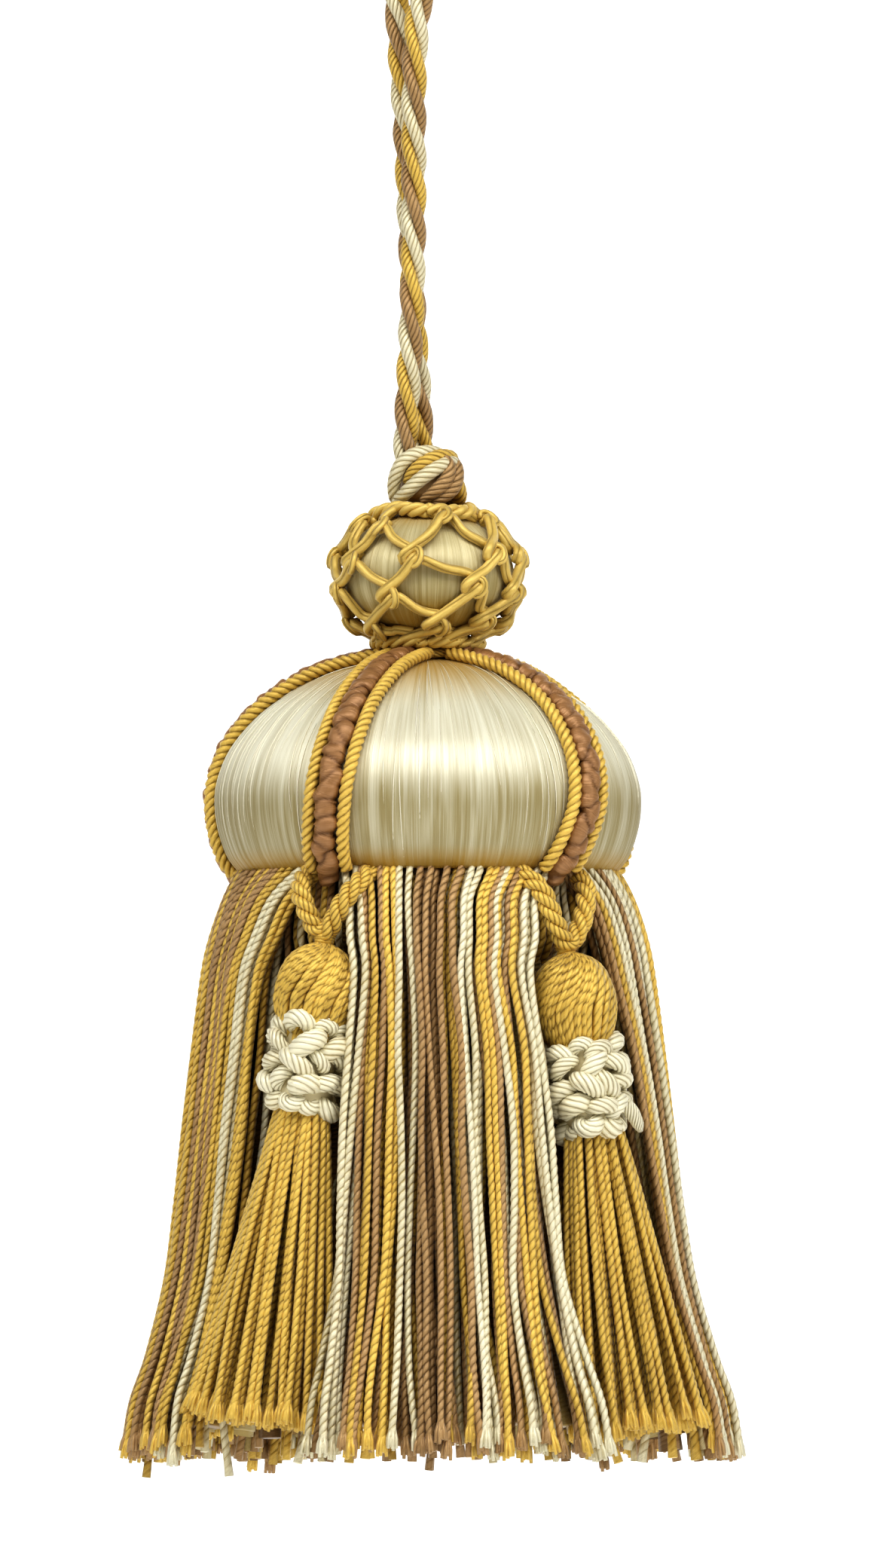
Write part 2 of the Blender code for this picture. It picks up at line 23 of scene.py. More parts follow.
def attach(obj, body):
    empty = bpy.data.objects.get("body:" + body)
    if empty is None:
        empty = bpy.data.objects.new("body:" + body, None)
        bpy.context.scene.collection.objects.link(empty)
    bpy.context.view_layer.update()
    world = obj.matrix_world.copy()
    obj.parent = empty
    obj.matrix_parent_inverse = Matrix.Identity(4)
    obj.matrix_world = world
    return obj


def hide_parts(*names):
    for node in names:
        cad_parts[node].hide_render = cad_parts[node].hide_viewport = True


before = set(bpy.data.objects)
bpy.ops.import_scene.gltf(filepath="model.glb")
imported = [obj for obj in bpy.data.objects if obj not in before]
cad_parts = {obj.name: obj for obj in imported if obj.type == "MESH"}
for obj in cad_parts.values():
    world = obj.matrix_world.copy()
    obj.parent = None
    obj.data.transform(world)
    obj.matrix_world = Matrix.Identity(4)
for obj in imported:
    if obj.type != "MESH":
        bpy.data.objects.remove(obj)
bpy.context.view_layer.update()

Array = np.ndarray
Colour3 = tuple[float, float, float]
MM = 0.001
ROOT = "root"
RIB_AZIMUTHS = (-28.0, 44.0, 116.0, 188.0, 260.0)
SKIRT_END = -263.6
# The share of its radius that a strand's outline reaches all round where it opens into a brush.
OPENED_SHARE = 0.92
# The largest random turn of a strand's outline, in radians.
NEARLY_A_TURN = 6.28

log = logging.getLogger("silk_tassel")


class Twist(Enum):
    """The way a cord's plies turn, seen from any side."""

    Z = 1
    S = -1


@dataclass(frozen=True)
class Section:
    """The outline of a strand across its length.

    Plies is the number of rounded lobes, points the corners of the outline, and valley the
    share of the radius that is left between two lobes. The corners stand still while the lobes
    turn past them.
    """

    plies: int
    points: int
    valley: float

    def angles(self) -> Array:
        """The angle of each corner, in radians."""
        return np.arange(self.points) * (2 * math.pi / self.points)

    def reach(self, angles: Array) -> Array:
        """The share of the radius that the lobes reach.

        Args:
            angles: angles from the first lobe's crown, in radians.

        Returns:
            The share at each angle.
        """
        if self.plies < 2:
            return np.ones_like(angles)
        return self.valley + (1 - self.valley) * np.abs(np.cos(self.plies * angles / 2))


ROUND = Section(1, 8, 1.0)
YARN = Section(2, 6, 0.8)
BACK_YARN = Section(2, 5, 0.94)
BUNDLE = Section(4, 8, 0.9)
EDGE = Section(3, 9, 0.62)
SIX_YARNS = Section(6, 12, 0.93)
HAIR = Section(1, 3, 1.0)
LOCK = Section(1, 4, 1.0)
CORE = Section(1, 24, 1.0)
WRAP = Section(1, 20, 1.0)
GIMP = Section(3, 8, 0.92)
HEAD_YARN = Section(2, 5, 0.85)
SWAG_PLY = Section(4, 10, 0.92)
COLLAR_CORD = Section(8, 15, 0.86)
LOOSE_CORD = Section(11, 12, 0.97)


def unit(vectors: Array) -> Array:
    """The same directions with a length of one."""
    return vectors / np.linalg.norm(vectors, axis=-1, keepdims=True)


def travelled(points: Array) -> Array:
    """The length of the way from the first point to each point."""
    return np.concatenate([[0.0], np.cumsum(np.linalg.norm(np.diff(points, axis=0), axis=1))])


def evenly(points: Array, step: float) -> Array:
    """Points spaced evenly along a line.

    Args:
        points: the line's corners, close together.
        step: the distance wanted between two points.

    Returns:
        The new points, the line's two ends among them.
    """
    lengths = travelled(points)
    count = max(2, round(lengths[-1] / step))
    wanted = np.linspace(0.0, lengths[-1], count + 1)
    return np.column_stack([np.interp(wanted, lengths, points[:, axis]) for axis in range(3)])


def smooth_route(points: Array, step: float) -> Array:
    """Evenly spaced points on a smooth curve.

    Args:
        points: the places that the curve runs through.
        step: the distance wanted between two of the new points.

    Returns:
        The points of the curve.
    """
    points = np.asarray(points, dtype=float)
    padded = np.vstack([2 * points[0] - points[1], points, 2 * points[-1] - points[-2]])
    before, start, end, after = (padded[k:len(padded) - 3 + k, None] for k in range(4))
    t = np.linspace(0, 1, 12, endpoint=False)[None, :, None]
    fine = 0.5 * (
        2 * start + (end - before) * t + (2 * before - 5 * start + 4 * end - after) * t**2
        + (3 * start - before - 3 * end + after) * t**3
    )
    return evenly(np.vstack([fine.reshape(-1, 3), points[-1]]), step)


def polar(radius: float, azimuth: float, height: float) -> Array:
    """A point at an azimuth in degrees from the front, turning towards +X."""
    turn = math.radians(azimuth)
    return np.array([radius * math.sin(turn), -radius * math.cos(turn), height])


def directions(centres: Array) -> Array:
    """The way ahead at each point of a route."""
    return unit(np.gradient(centres, axis=0))


def carried_sides(centres: Array, first: Array) -> Array:
    """A direction across the route at each point, which turns as little as it can.

    Args:
        centres: the route.
        first: the direction wanted at its start.

    Returns:
        One direction for each point, at right angles to the route.
    """
    side = np.asarray(first, dtype=float)
    made = []
    for ahead in directions(centres):
        side = side - ahead * side.dot(ahead)
        side = side / math.sqrt(side.dot(side))
        made.append(side)
    return np.array(made)


def plumb_sides(centres: Array, reference: Array) -> Array:
    """The part of one fixed direction that lies across the route, for strands that hang."""
    ahead = directions(centres)
    return unit(reference - ahead * (ahead @ reference)[:, None])


@dataclass
class Basket:
    """Strands gathered for one mesh."""

    vertices: list[Array] = field(default_factory=list)
    quads: list[Array] = field(default_factory=list)
    caps: list[Array] = field(default_factory=list)
    quad_uvs: list[Array] = field(default_factory=list)
    tones_and_shades: list[Array] = field(default_factory=list)
    fold_shades: list[Array] = field(default_factory=list)
    openings: list[Array] = field(default_factory=list)
    slots: list[Array] = field(default_factory=list)
    cap_slots: list[int] = field(default_factory=list)
    count: int = 0

    def add_tube(
        self,
        centres: Array,
        radius: float | Array,
        section: Section,
        pitch: float = 0.0,
        twist: Twist = Twist.Z,
        sides: Array | None = None,
        tone: float = 0.0,
        phase: float = 0.0,
        slot: int = 0,
        opening: Array | None = None,
    ) -> None:
        """Sweeps a section along a route and closes its ends.

        Args:
            centres: the route.
            radius: one radius, one for each centre, or one for each centre and corner.
            section: the outline.
            pitch: the length of one full turn of the plies, or 0 for none.
            twist: the way that they turn.
            sides: directions across the route, carried along it where they are left out.
            tone: how much lighter or darker this strand is painted than the rest, both at random and as
                painted shade where it lies deep inside.
            phase: the angle that the section starts at, in radians.
            slot: the material slot.
            opening: how far the plies have opened into a brush at each centre, from 0 to 1.
        """
        count = len(centres)
        points = section.points
        ahead = directions(centres)
        if sides is None:
            rough = [0.0, 1.0, 0.0] if abs(ahead[0][1]) < 0.9 else [1.0, 0.0, 0.0]
            sides = carried_sides(centres, rough)
        rises = np.cross(ahead, sides)
        lengths = travelled(centres)
        turn = phase + (twist.value * 2 * math.pi / pitch * lengths if pitch else 0 * lengths)
        angles = section.angles()[None, :]
        lobes = angles - turn[:, None]
        opened = np.zeros(count) if opening is None else opening
        share = section.reach(lobes)
        share = share + (OPENED_SHARE - share) * opened[:, None]
        radii = np.asarray(radius, dtype=float)
        reach = share * (radii if radii.ndim == 2 else radii.reshape(-1, 1))
        rings = (
            centres[:, None, :]
            + (reach * np.cos(angles))[..., None] * sides[:, None, :]
            + (reach * np.sin(angles))[..., None] * rises[:, None, :]
        )
        low = np.arange((count - 1) * points).reshape(count - 1, points)
        after = np.roll(low, -1, axis=1)
        quads = np.stack([low, after, after + points, low + points], axis=-1).reshape(-1, 4)
        quads = quads + self.count
        plies = section.plies if section.plies > 1 else 0
        across = plies * lobes / (2 * math.pi)
        beside = across + plies / points
        u = np.stack([across[:-1], beside[:-1], beside[1:], across[1:]], axis=-1)
        v = np.stack([lengths[:-1], lengths[:-1], lengths[1:], lengths[1:]], axis=-1) / MM
        uv = np.stack([u, np.broadcast_to(v[:, None], u.shape)], axis=-1)
        self.vertices.append(rings.reshape(-1, 3))
        self.quads.append(quads)
        self.quad_uvs.append(uv.reshape(-1, 2))
        first = self.count + np.arange(points)
        self.caps.append(np.stack([first[::-1], first + (count - 1) * points]))
        self.cap_slots += [slot, slot]
        self.tones_and_shades.append(np.full(count * points, tone))
        self.fold_shades.append(np.zeros(count * points))
        self.openings.append(np.repeat(opened, points))
        self.slots.append(np.full(len(quads), slot))
        self.count += count * points

    def build(self, name: str, finishes: list[bpy.types.Material]) -> bpy.types.Object:
        """Makes the mesh.

        Args:
            name: the piece's name.
            finishes: a material for each slot.

        Returns:
            The new object, at the origin.
        """
        mesh = bpy.data.meshes.new(name)
        vertices = np.vstack(self.vertices)
        quads = np.vstack(self.quads)
        cap_loops = [corner for caps in self.caps for cap in caps for corner in cap]
        cap_sizes = [len(cap) for caps in self.caps for cap in caps]
        loops = np.concatenate([quads.ravel(), np.array(cap_loops, dtype=int)])
        cap_starts = quads.size + np.cumsum([0, *cap_sizes[:-1]])
        starts = np.concatenate([np.arange(len(quads)) * 4, cap_starts])
        mesh.vertices.add(len(vertices))
        mesh.vertices.foreach_set("co", vertices.ravel())
        mesh.loops.add(len(loops))
        mesh.loops.foreach_set("vertex_index", loops)
        mesh.polygons.add(len(starts))
        mesh.polygons.foreach_set("loop_start", starts)
        slots = np.concatenate([*self.slots, np.array(self.cap_slots)])
        mesh.polygons.foreach_set("material_index", slots)
        mesh.update(calc_edges=True)
        uvs = np.zeros((len(loops), 2))
        uvs[: quads.size] = np.vstack(self.quad_uvs)
        mesh.uv_layers.new(name="thread").uv.foreach_set("vector", uvs.ravel())
        for label, values in (("tone", self.tones_and_shades), ("fold_shade", self.fold_shades), ("open", self.openings)):
            mesh.attributes.new(label, "FLOAT", "POINT").data.foreach_set("value", np.concatenate(values))
        mesh.shade_smooth()
        return place_in_scene(mesh, finishes)


def place_in_scene(mesh: bpy.types.Mesh, finishes: list[bpy.types.Material]) -> bpy.types.Object:
    """Makes an object of a mesh.

    Args:
        mesh: the mesh, which gives the object its name.
        finishes: a material for each slot.

    Returns:
        The new object, at the origin.
    """
    for finish in finishes:
        mesh.materials.append(finish)
    made = bpy.data.objects.new(mesh.name, mesh)
    bpy.context.scene.collection.objects.link(made)
    return made


def settle(piece: bpy.types.Object, slot: str, *nodes: str) -> bpy.types.Object:
    """Fixes a piece to the tassel.

    Args:
        piece: the piece.
        slot: the record's material slot, which is not used.
        nodes: the solids that the piece stands for.

    Returns:
        The same piece.
    """
    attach(piece, ROOT)
    if nodes:
        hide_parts(*nodes)
    log.info("%s: %d faces", piece.name, len(piece.data.polygons))
    return piece


def turned(name: str, outline: Array, segments: int, finish: bpy.types.Material,
           bulge: Array | None = None) -> bpy.types.Object:
    """A surface turned about the vertical axis.

    Args:
        name: the piece's name.
        outline: rows of radius and height, from the top to the bottom.
        segments: the faces around.
        finish: its material.
        bulge: what each segment adds to the radius.

    Returns:
        The new object.
    """
    turns = np.arange(segments) * (2 * math.pi / segments)
    extra = np.zeros(segments) if bulge is None else bulge
    rows = len(outline)
    full_from = 6 * MM
    share = np.minimum(1.0, outline[:, 0] / full_from)
    radii = outline[:, 0][:, None] + extra[None, :] * share[:, None]
    heights = np.broadcast_to(outline[:, 1][:, None], radii.shape)
    points = np.stack([radii * np.sin(turns), -radii * np.cos(turns), heights], axis=-1)
    low = np.arange((rows - 1) * segments).reshape(rows - 1, segments)
    after = np.roll(low, -1, axis=1)
    quads = np.stack([low, low + segments, after + segments, after], axis=-1).reshape(-1, 4)
    top = list(range(segments))
    bottom = list(range((rows - 1) * segments, rows * segments))[::-1]
    mesh = bpy.data.meshes.new(name)
    mesh.from_pydata(points.reshape(-1, 3).tolist(), [], [*quads.tolist(), top, bottom])
    mesh.shade_smooth()
    return place_in_scene(mesh, [finish])


class Socket:
    """A shader node's output that adds Math nodes when it is used in an expression."""

    def __init__(self, canvas: Canvas, raw: bpy.types.NodeSocket) -> None:
        """Wraps the output."""
        self.canvas = canvas
        self.raw = raw

    def _math(self, operation: str, first: Socket | float, second: Socket | float) -> Socket:
        """Adds a Math node.

        Args:
            operation: what it works out.
            first: its first value.
            second: its second value.

        Returns:
            The result.
        """
        return self.canvas.add("ShaderNodeMath", {"operation": operation}, {0: first, 1: second})

    def __add__(self, other: Socket | float) -> Socket:
        """Self plus other."""
        return self._math("ADD", self, other)

    def __radd__(self, other: float) -> Socket:
        """Other plus self."""
        return self._math("ADD", other, self)

    def __sub__(self, other: Socket | float) -> Socket:
        """Self minus other."""
        return self._math("SUBTRACT", self, other)

    def __rsub__(self, other: float) -> Socket:
        """Other minus self."""
        return self._math("SUBTRACT", other, self)

    def __mul__(self, other: Socket | float) -> Socket:
        """Self times other."""
        return self._math("MULTIPLY", self, other)

    def __rmul__(self, other: float) -> Socket:
        """Other times self."""
        return self._math("MULTIPLY", other, self)

    def __pow__(self, other: float) -> Socket:
        """Self to the power of other."""
        return self._math("POWER", self, other)


class Canvas:
    """The node tree of one material."""

    def __init__(self, name: str) -> None:
        """Makes a material that has only its shader.

        Args:
            name: the material's name.
        """
        self.material = bpy.data.materials.new(name)
        self.material.use_nodes = True
        self.tree = self.material.node_tree
        self.shader = self.tree.nodes["Principled BSDF"]

    def add(self, kind: str, settings: dict[str, object] | None = None,
            inputs: dict[str | int, object] | None = None, output: str | int = 0) -> Socket:
        """Adds a node.

        Args:
            kind: the node's type.
            settings: its properties, set first.
            inputs: values or links of its sockets.
            output: the socket to give back.

        Returns:
            That output.
        """
        node = self.tree.nodes.new(kind)
        for key, value in (settings or {}).items():
            setattr(node, key, value)
        for key, value in (inputs or {}).items():
            self.join(value, node.inputs[key])
        return Socket(self, node.outputs[output])

    def join(self, value: object, target: bpy.types.NodeSocket) -> None:
        """Links a socket to an input, or sets the input to a value.

        Args:
            value: the socket or the value.
            target: the input.
        """
        if isinstance(value, Socket):
            self.tree.links.new(value.raw, target)
        else:
            target.default_value = value

    def mix(self, factor: Socket | float, first: object, second: object) -> Socket:
        """Blends two colours.

        Args:
            factor: the share of the second.
            first: a colour or a link.
            second: a colour or a link.

        Returns:
            The blended colour.
        """
        pair = [(*c, 1.0) if isinstance(c, tuple) else c for c in (first, second)]
        return self.add("ShaderNodeMix", {"data_type": "RGBA"}, {0: factor, 6: pair[0], 7: pair[1]}, 2)

    def shade(self, depth: Socket, light: Colour3, deep: Colour3) -> Socket:
        """The light colour where the depth is 0, the deep one where it is 1."""
        return self.mix(self.add("ShaderNodeClamp", None, {"Value": depth}), light, deep)

    def fade(self, value: Socket, start: float, end: float, most: float = 1.0) -> Socket:
        """Adds a smooth rise from 0.

        Args:
            value: what it follows.
            start: the value in millimetres where the rise begins.
            end: the value in millimetres where it ends.
            most: how high it rises.

        Returns:
            The result.
        """
        return self.add("ShaderNodeMapRange", {"interpolation_type": "SMOOTHSTEP"},
                        {"Value": value, "From Min": start * MM, "From Max": end * MM, "To Max": most})

    def vector(self, operation: str, first: object, second: object = None,
               scale: float | None = None) -> Socket:
        """Adds a Vector Math node.

        Args:
            operation: what it works out.
            first: its first vector.
            second: its second vector, if it has one.
            scale: its scale, if it has one.

        Returns:
            The new vector.
        """
        inputs = {0: first}
        if second is not None:
            inputs[1] = second
        if scale is not None:
            inputs["Scale"] = scale
        return self.add("ShaderNodeVectorMath", {"operation": operation}, inputs)

    def place(self, kind: str) -> Socket:
        """The UV or Object coordinates."""
        return self.add("ShaderNodeTexCoord", None, None, kind)

    def noise(self, vector: Socket, scale: float = 1.0) -> Socket:
        """Smooth noise from 0 to 1 at a vector."""
        return self.add("ShaderNodeTexNoise", None, {"Vector": vector, "Scale": scale, "Detail": 2.0})

    def curve(self, operation: str, value: Socket) -> Socket:
        """Adds a Math node of one value."""
        return self.add("ShaderNodeMath", {"operation": operation}, {0: value})

    def attribute(self, name: str) -> Socket:
        """The number that a mesh holds under a name."""
        return self.add("ShaderNodeAttribute", {"attribute_name": name}, None, "Fac")

    def finish(self, colour: Socket, roughness: Socket | float, height: Socket | None, depth: float,
               constants: dict[str, object]) -> bpy.types.Material:
        """Joins everything to the shader.

        Args:
            colour: the base colour.
            roughness: the roughness.
            height: the relief, if any.
            depth: the relief's height in metres.
            constants: numbers for the shader's own sockets.

        Returns:
            The material.
        """
        self.join(colour, self.shader.inputs["Base Color"])
        self.join(roughness, self.shader.inputs["Roughness"])
        for key, value in constants.items():
            self.shader.inputs[key].default_value = value
        if height is not None:
            bump = self.add("ShaderNodeBump", None, {"Strength": 1.0, "Distance": depth, "Height": height})
            self.join(bump, self.shader.inputs["Normal"])
        return self.material


@dataclass(frozen=True)
class YarnFinish:
    """Twisted silk yarn: fine fibres, painted shade between its plies, no two strands alike."""

    name: str
    light: Colour3
    deep: Colour3
    roughness: float = 0.47
    sheen: float = 0.2
    fibres: float = 6.0
    lustre: float = 0.2
    crease_shade: float = 0.68
    relief: float = 0.2

    def make(self) -> bpy.types.Material:
        """Makes the material.

        Returns:
            The material.
        """
        canvas = Canvas(self.name)
        uv = canvas.place("UV")
        across = canvas.add("ShaderNodeSeparateXYZ", None, {"Vector": uv})
        crown = canvas.curve("ABSOLUTE", canvas.curve("COSINE", across * math.pi))
        twisted = 1.0 - canvas.attribute("open")
        fibre_place = canvas.vector("MULTIPLY", uv, (self.fibres, 0.7, 1.0))
        fibres = canvas.noise(fibre_place)
        patches = canvas.noise(canvas.place("Object"), 160.0)
        # Each strand's random difference together with painted shade for strands that lie deep inside.
        tone = canvas.attribute("tone")
        # Painted shade: darker in the creases between the plies, less where they open into a brush.
        crease_shade = (1.0 - crown) ** 1.6 * twisted
        depth = crease_shade * self.crease_shade * (patches * 0.9 + 0.55)
        depth = depth + (fibres - 0.5) * 0.6 + (patches - 0.5) * 0.4 + tone
        colour = canvas.shade(depth, self.light, self.deep)
        rough = self.roughness + (fibres - 0.5) * 0.15
        height = crown ** 0.6 * twisted + fibres * 0.35
        return canvas.finish(colour, rough, height, self.relief * MM,
                             {"Metallic": self.lustre, "Sheen Weight": self.sheen, "Sheen Roughness": 0.4,
                              "Specular IOR Level": 0.45})


@dataclass(frozen=True)
class FlossFinish:
    """Glossy floss laid side by side down the form, which spreads highlights into level bands.

    Threads is about how many threads there are to a radian. Each entry of the gold tints and
    reflections has the height where the gold starts, the height where it is full, and its share
    there; on the dome, the one towards the crown is a golden tint and the one at the rim is
    painted reflection of the gold skirt. Shaded has the heights between which painted shade
    darkens the floss towards the bottom. Heights are in millimetres.
    """

    name: str
    light: Colour3
    deep: Colour3
    threads: float
    gold_tints_and_reflections: tuple[tuple[float, float, float], ...]
    shaded: tuple[float, float]
    roughness: float = 0.47
    anisotropy: float = 0.85
    lustre: float = 0.12
    golden: Colour3 = (0.44, 0.27, 0.05)
    relief: float = 0.2

    def make(self) -> bpy.types.Material:
        """Makes the material.

        Returns:
            The material.
        """
        canvas = Canvas(self.name)
        place = canvas.place("Object")
        around = canvas.vector("NORMALIZE", canvas.vector("MULTIPLY", place, (1.0, 1.0, 0.0)))
        down = canvas.vector("MULTIPLY", place, (0.0, 0.0, 60.0))
        fine, locks, folds = (
            canvas.noise(canvas.vector("ADD", canvas.vector("SCALE", around, scale=scale), down))
            for scale in (self.threads, self.threads / 5, self.threads / 22)
        )
        height = canvas.add("ShaderNodeSeparateXYZ", None, {"Vector": place}, "Z")
        # Painted shade: the floss is darkened towards the bottom of the form.
        low = canvas.fade(height, *self.shaded)
        depth = (fine - 0.5) * 0.8 + (locks - 0.5) * 1.1 + (folds - 0.5) * 0.6 + 0.22 + low * 0.6
        colour = canvas.shade(depth, self.light, self.deep)
        # Gold mixed in by height; at the dome's rim it is painted reflection of the gold skirt.
        for start, end, most in self.gold_tints_and_reflections:
            share = canvas.fade(height, start, end, most)
            colour = canvas.mix(share * (locks * 0.8 + 0.6), colour, self.golden)
        relief = fine * 0.5 + locks * 0.5
        rough = self.roughness + (locks - 0.5) * 0.35
        return canvas.finish(colour, rough, relief, self.relief * MM,
                             {"Anisotropic": self.anisotropy, "Anisotropic Rotation": 0.0,
                              "Metallic": self.lustre, "Specular IOR Level": 0.42})


@dataclass(frozen=True)
class WrapFinish:
    """A core wrapped crosswise with fine floss, with painted shade in its creases."""

    name: str
    light: Colour3
    deep: Colour3
    wraps: float
    slant: float
    roughness: float = 0.4
    relief: float = 0.1
    contrast: float = 0.9
    lustre: float = 0.25

    def make(self) -> bpy.types.Material:
        """Makes the material.

        Returns:
            The material.
        """
        canvas = Canvas(self.name)
        threads = canvas.noise(canvas.vector("MULTIPLY", canvas.place("UV"), (self.slant, self.wraps, 1.0)))
        fold_shade = canvas.attribute("fold_shade")
        tone = canvas.attribute("tone")
        # Painted shade: the wrap is darker in the folds of its crimp.
        depth = (threads - 0.5) * self.contrast + fold_shade * 0.8 + tone + 0.15
        colour = canvas.shade(depth, self.light, self.deep)
        rough = self.roughness + (threads - 0.5) * 0.2
        return canvas.finish(colour, rough, threads, self.relief * MM, {"Metallic": self.lustre})


@dataclass(frozen=True)
class PlainFinish:
    """A pale studio surface with a faint mottle."""

    name: str
    light: Colour3
    glow: float
    darker: float = 0.985
    roughness: float = 0.9

    def make(self) -> bpy.types.Material:
        """Makes the material.

        Returns:
            The material.
        """
        canvas = Canvas(self.name)
        mottle = canvas.noise(canvas.place("Object"), 3.0)
        colour = canvas.mix(mottle, self.light, tuple(self.darker * value for value in self.light))
        return canvas.finish(colour, self.roughness, None, 0.0,
                             {"Emission Color": (1.0, 1.0, 1.0, 1.0), "Emission Strength": self.glow})


class Palette:
    """Every material of the tassel."""

    def __init__(self) -> None:
        """Makes the materials, each in its light colour and its deep colour, towards which painted shade and
        random differences darken it.
        """
        self.cream_yarn = YarnFinish("cream_yarn", (0.80, 0.745, 0.54), (0.42, 0.32, 0.125)).make()
        self.gold_yarn = YarnFinish("gold_yarn", (0.77, 0.54, 0.13), (0.25, 0.14, 0.014)).make()
        self.taupe_yarn = YarnFinish("taupe_yarn", (0.49, 0.32, 0.15), (0.15, 0.08, 0.02)).make()
        # The dome's floss carries painted shade on its lower part and a painted reflection of the gold skirt
        # at its rim; the ball's floss carries painted shade on its lower half.
        self.floss = FlossFinish(
            "cream_floss", (0.77, 0.745, 0.59), (0.36, 0.30, 0.15), threads=190.0, shaded=(-150.5, -160.0),
            gold_tints_and_reflections=((-144.0, -134.5, 0.9), (-165.5, -169.6, 0.85))).make()
        self.ball_floss = FlossFinish(
            "ball_floss", (0.66, 0.59, 0.36), (0.32, 0.245, 0.085), threads=120.0, shaded=(-118.0, -128.0),
            gold_tints_and_reflections=((-114.5, -110.5, 0.85), (-123.5, -131.0, 0.85))).make()
        self.soft_cord = YarnFinish("soft_cream_cord", (0.90, 0.85, 0.64), (0.50, 0.39, 0.17),
                                    crease_shade=0.66, relief=0.25).make()
        self.stray = YarnFinish("stray_floss", (0.86, 0.82, 0.66), (0.60, 0.50, 0.28), roughness=0.3).make()
        self.gimp = YarnFinish("gold_gimp", (0.72, 0.53, 0.16), (0.28, 0.17, 0.025),
                               crease_shade=0.6, relief=0.25, fibres=4.0).make()
        self.wrap = WrapFinish("brown_wrap", (0.42, 0.235, 0.105), (0.12, 0.052, 0.015),
                               wraps=5.5, slant=2.0).make()


@dataclass(frozen=True)
class SoftBox:
    """A soft box that faces the tassel: its place and size in metres, its power in watts."""

    name: str
    place: tuple
    size: tuple
    power: float


@dataclass
class Studio:
    """The pale floor, the soft light and the camera.

    The picture's height is in pixels, and the target of the camera, the lens and the sensor are
    in millimetres. The floor and the far clip are in metres. Fill light is the strength of the
    white world that lights the tassel.
    """

    picture_height: float = 2081.0
    pixels_a_millimetre: float = 8.14
    target: tuple = (2.46, 0.0, -155.1)
    floor_height: float = -0.75
    floor_half: float = 4.0
    lens: float = 400.0
    sensor: float = 36.0
    elevation: float = -2.0
    far_clip: float = 20.0
    fill_light: float = 0.07
    boxes: tuple = (
        SoftBox("key", (-0.05, -0.8, 0.8), (2.2, 0.6), 15.8),
        SoftBox("left", (-1.1, -0.5, 0.4), (0.3, 0.8), 2.2),
        SoftBox("back", (0.0, 1.4, 0.1), (3.4, 2.2), 20.0),
        SoftBox("under", (0.25, -0.85, -0.66), (0.7, 0.35), 0.5),
        SoftBox("side", (1.1, -0.5, 0.25), (0.3, 0.8), 3.6),
    )

    def place_camera(self) -> None:
        """Sets the camera at the viewing angle of the picture."""
        data = bpy.data.cameras.new("camera")
        data.lens = self.lens
        data.sensor_width = self.sensor
        camera = bpy.data.objects.new("camera", data)
        bpy.context.scene.collection.objects.link(camera)
        distance = self.picture_height / self.pixels_a_millimetre * MM * self.lens / self.sensor
        tilt = math.radians(self.elevation)
        camera.location = Vector(self.target) * MM + Vector((0, -math.cos(tilt), math.sin(tilt))) * distance
        camera.rotation_euler = (math.radians(90.0) - tilt, 0.0, 0.0)
        data.clip_end = self.far_clip
        bpy.context.scene.camera = camera

    def add_light(self, box: SoftBox) -> None:
        """Hangs a soft box.

        Args:
            box: the soft box.
        """
        data = bpy.data.lights.new(box.name, "AREA")
        data.shape = "RECTANGLE"
        data.size, data.size_y = box.size
        data.energy = box.power
        lamp = bpy.data.objects.new(box.name, data)
        bpy.context.scene.collection.objects.link(lamp)
        lamp.visible_camera = False
        lamp.location = box.place
        way = Vector(self.target) * MM - Vector(box.place)
        lamp.rotation_euler = way.to_track_quat("-Z", "Y").to_euler()

    def build_floor(self) -> None:
        """Lays the floor."""
        half = self.floor_half
        corners = ((-half, -half), (half, -half), (half, half), (-half, half))
        mesh = bpy.data.meshes.new("studio_floor")
        mesh.from_pydata([(x, y, self.floor_height) for x, y in corners], [], [(0, 1, 2, 3)])
        floor = place_in_scene(mesh, [PlainFinish("pale_floor", (0.93, 0.93, 0.92), 0.35).make()])

    def light_up(self) -> None:
        """Sets the world and the soft boxes."""
        scene = bpy.context.scene
        scene.world = bpy.data.worlds.new("studio")
        scene.world.use_nodes = True
        tree = scene.world.node_tree
        background = tree.nodes["Background"]
        background.inputs[0].default_value = (1.0, 1.0, 1.0, 1.0)
        seen = tree.nodes.new("ShaderNodeLightPath")
        level = tree.nodes.new("ShaderNodeMapRange")
        level.inputs["To Min"].default_value = self.fill_light
        level.inputs["To Max"].default_value = 1.0
        tree.links.new(seen.outputs["Is Camera Ray"], level.inputs["Value"])
        tree.links.new(level.outputs[0], background.inputs[1])
        scene.view_settings.view_transform = "Standard"
        scene.view_settings.look = "High Contrast"
        for box in self.boxes:
            self.add_light(box)


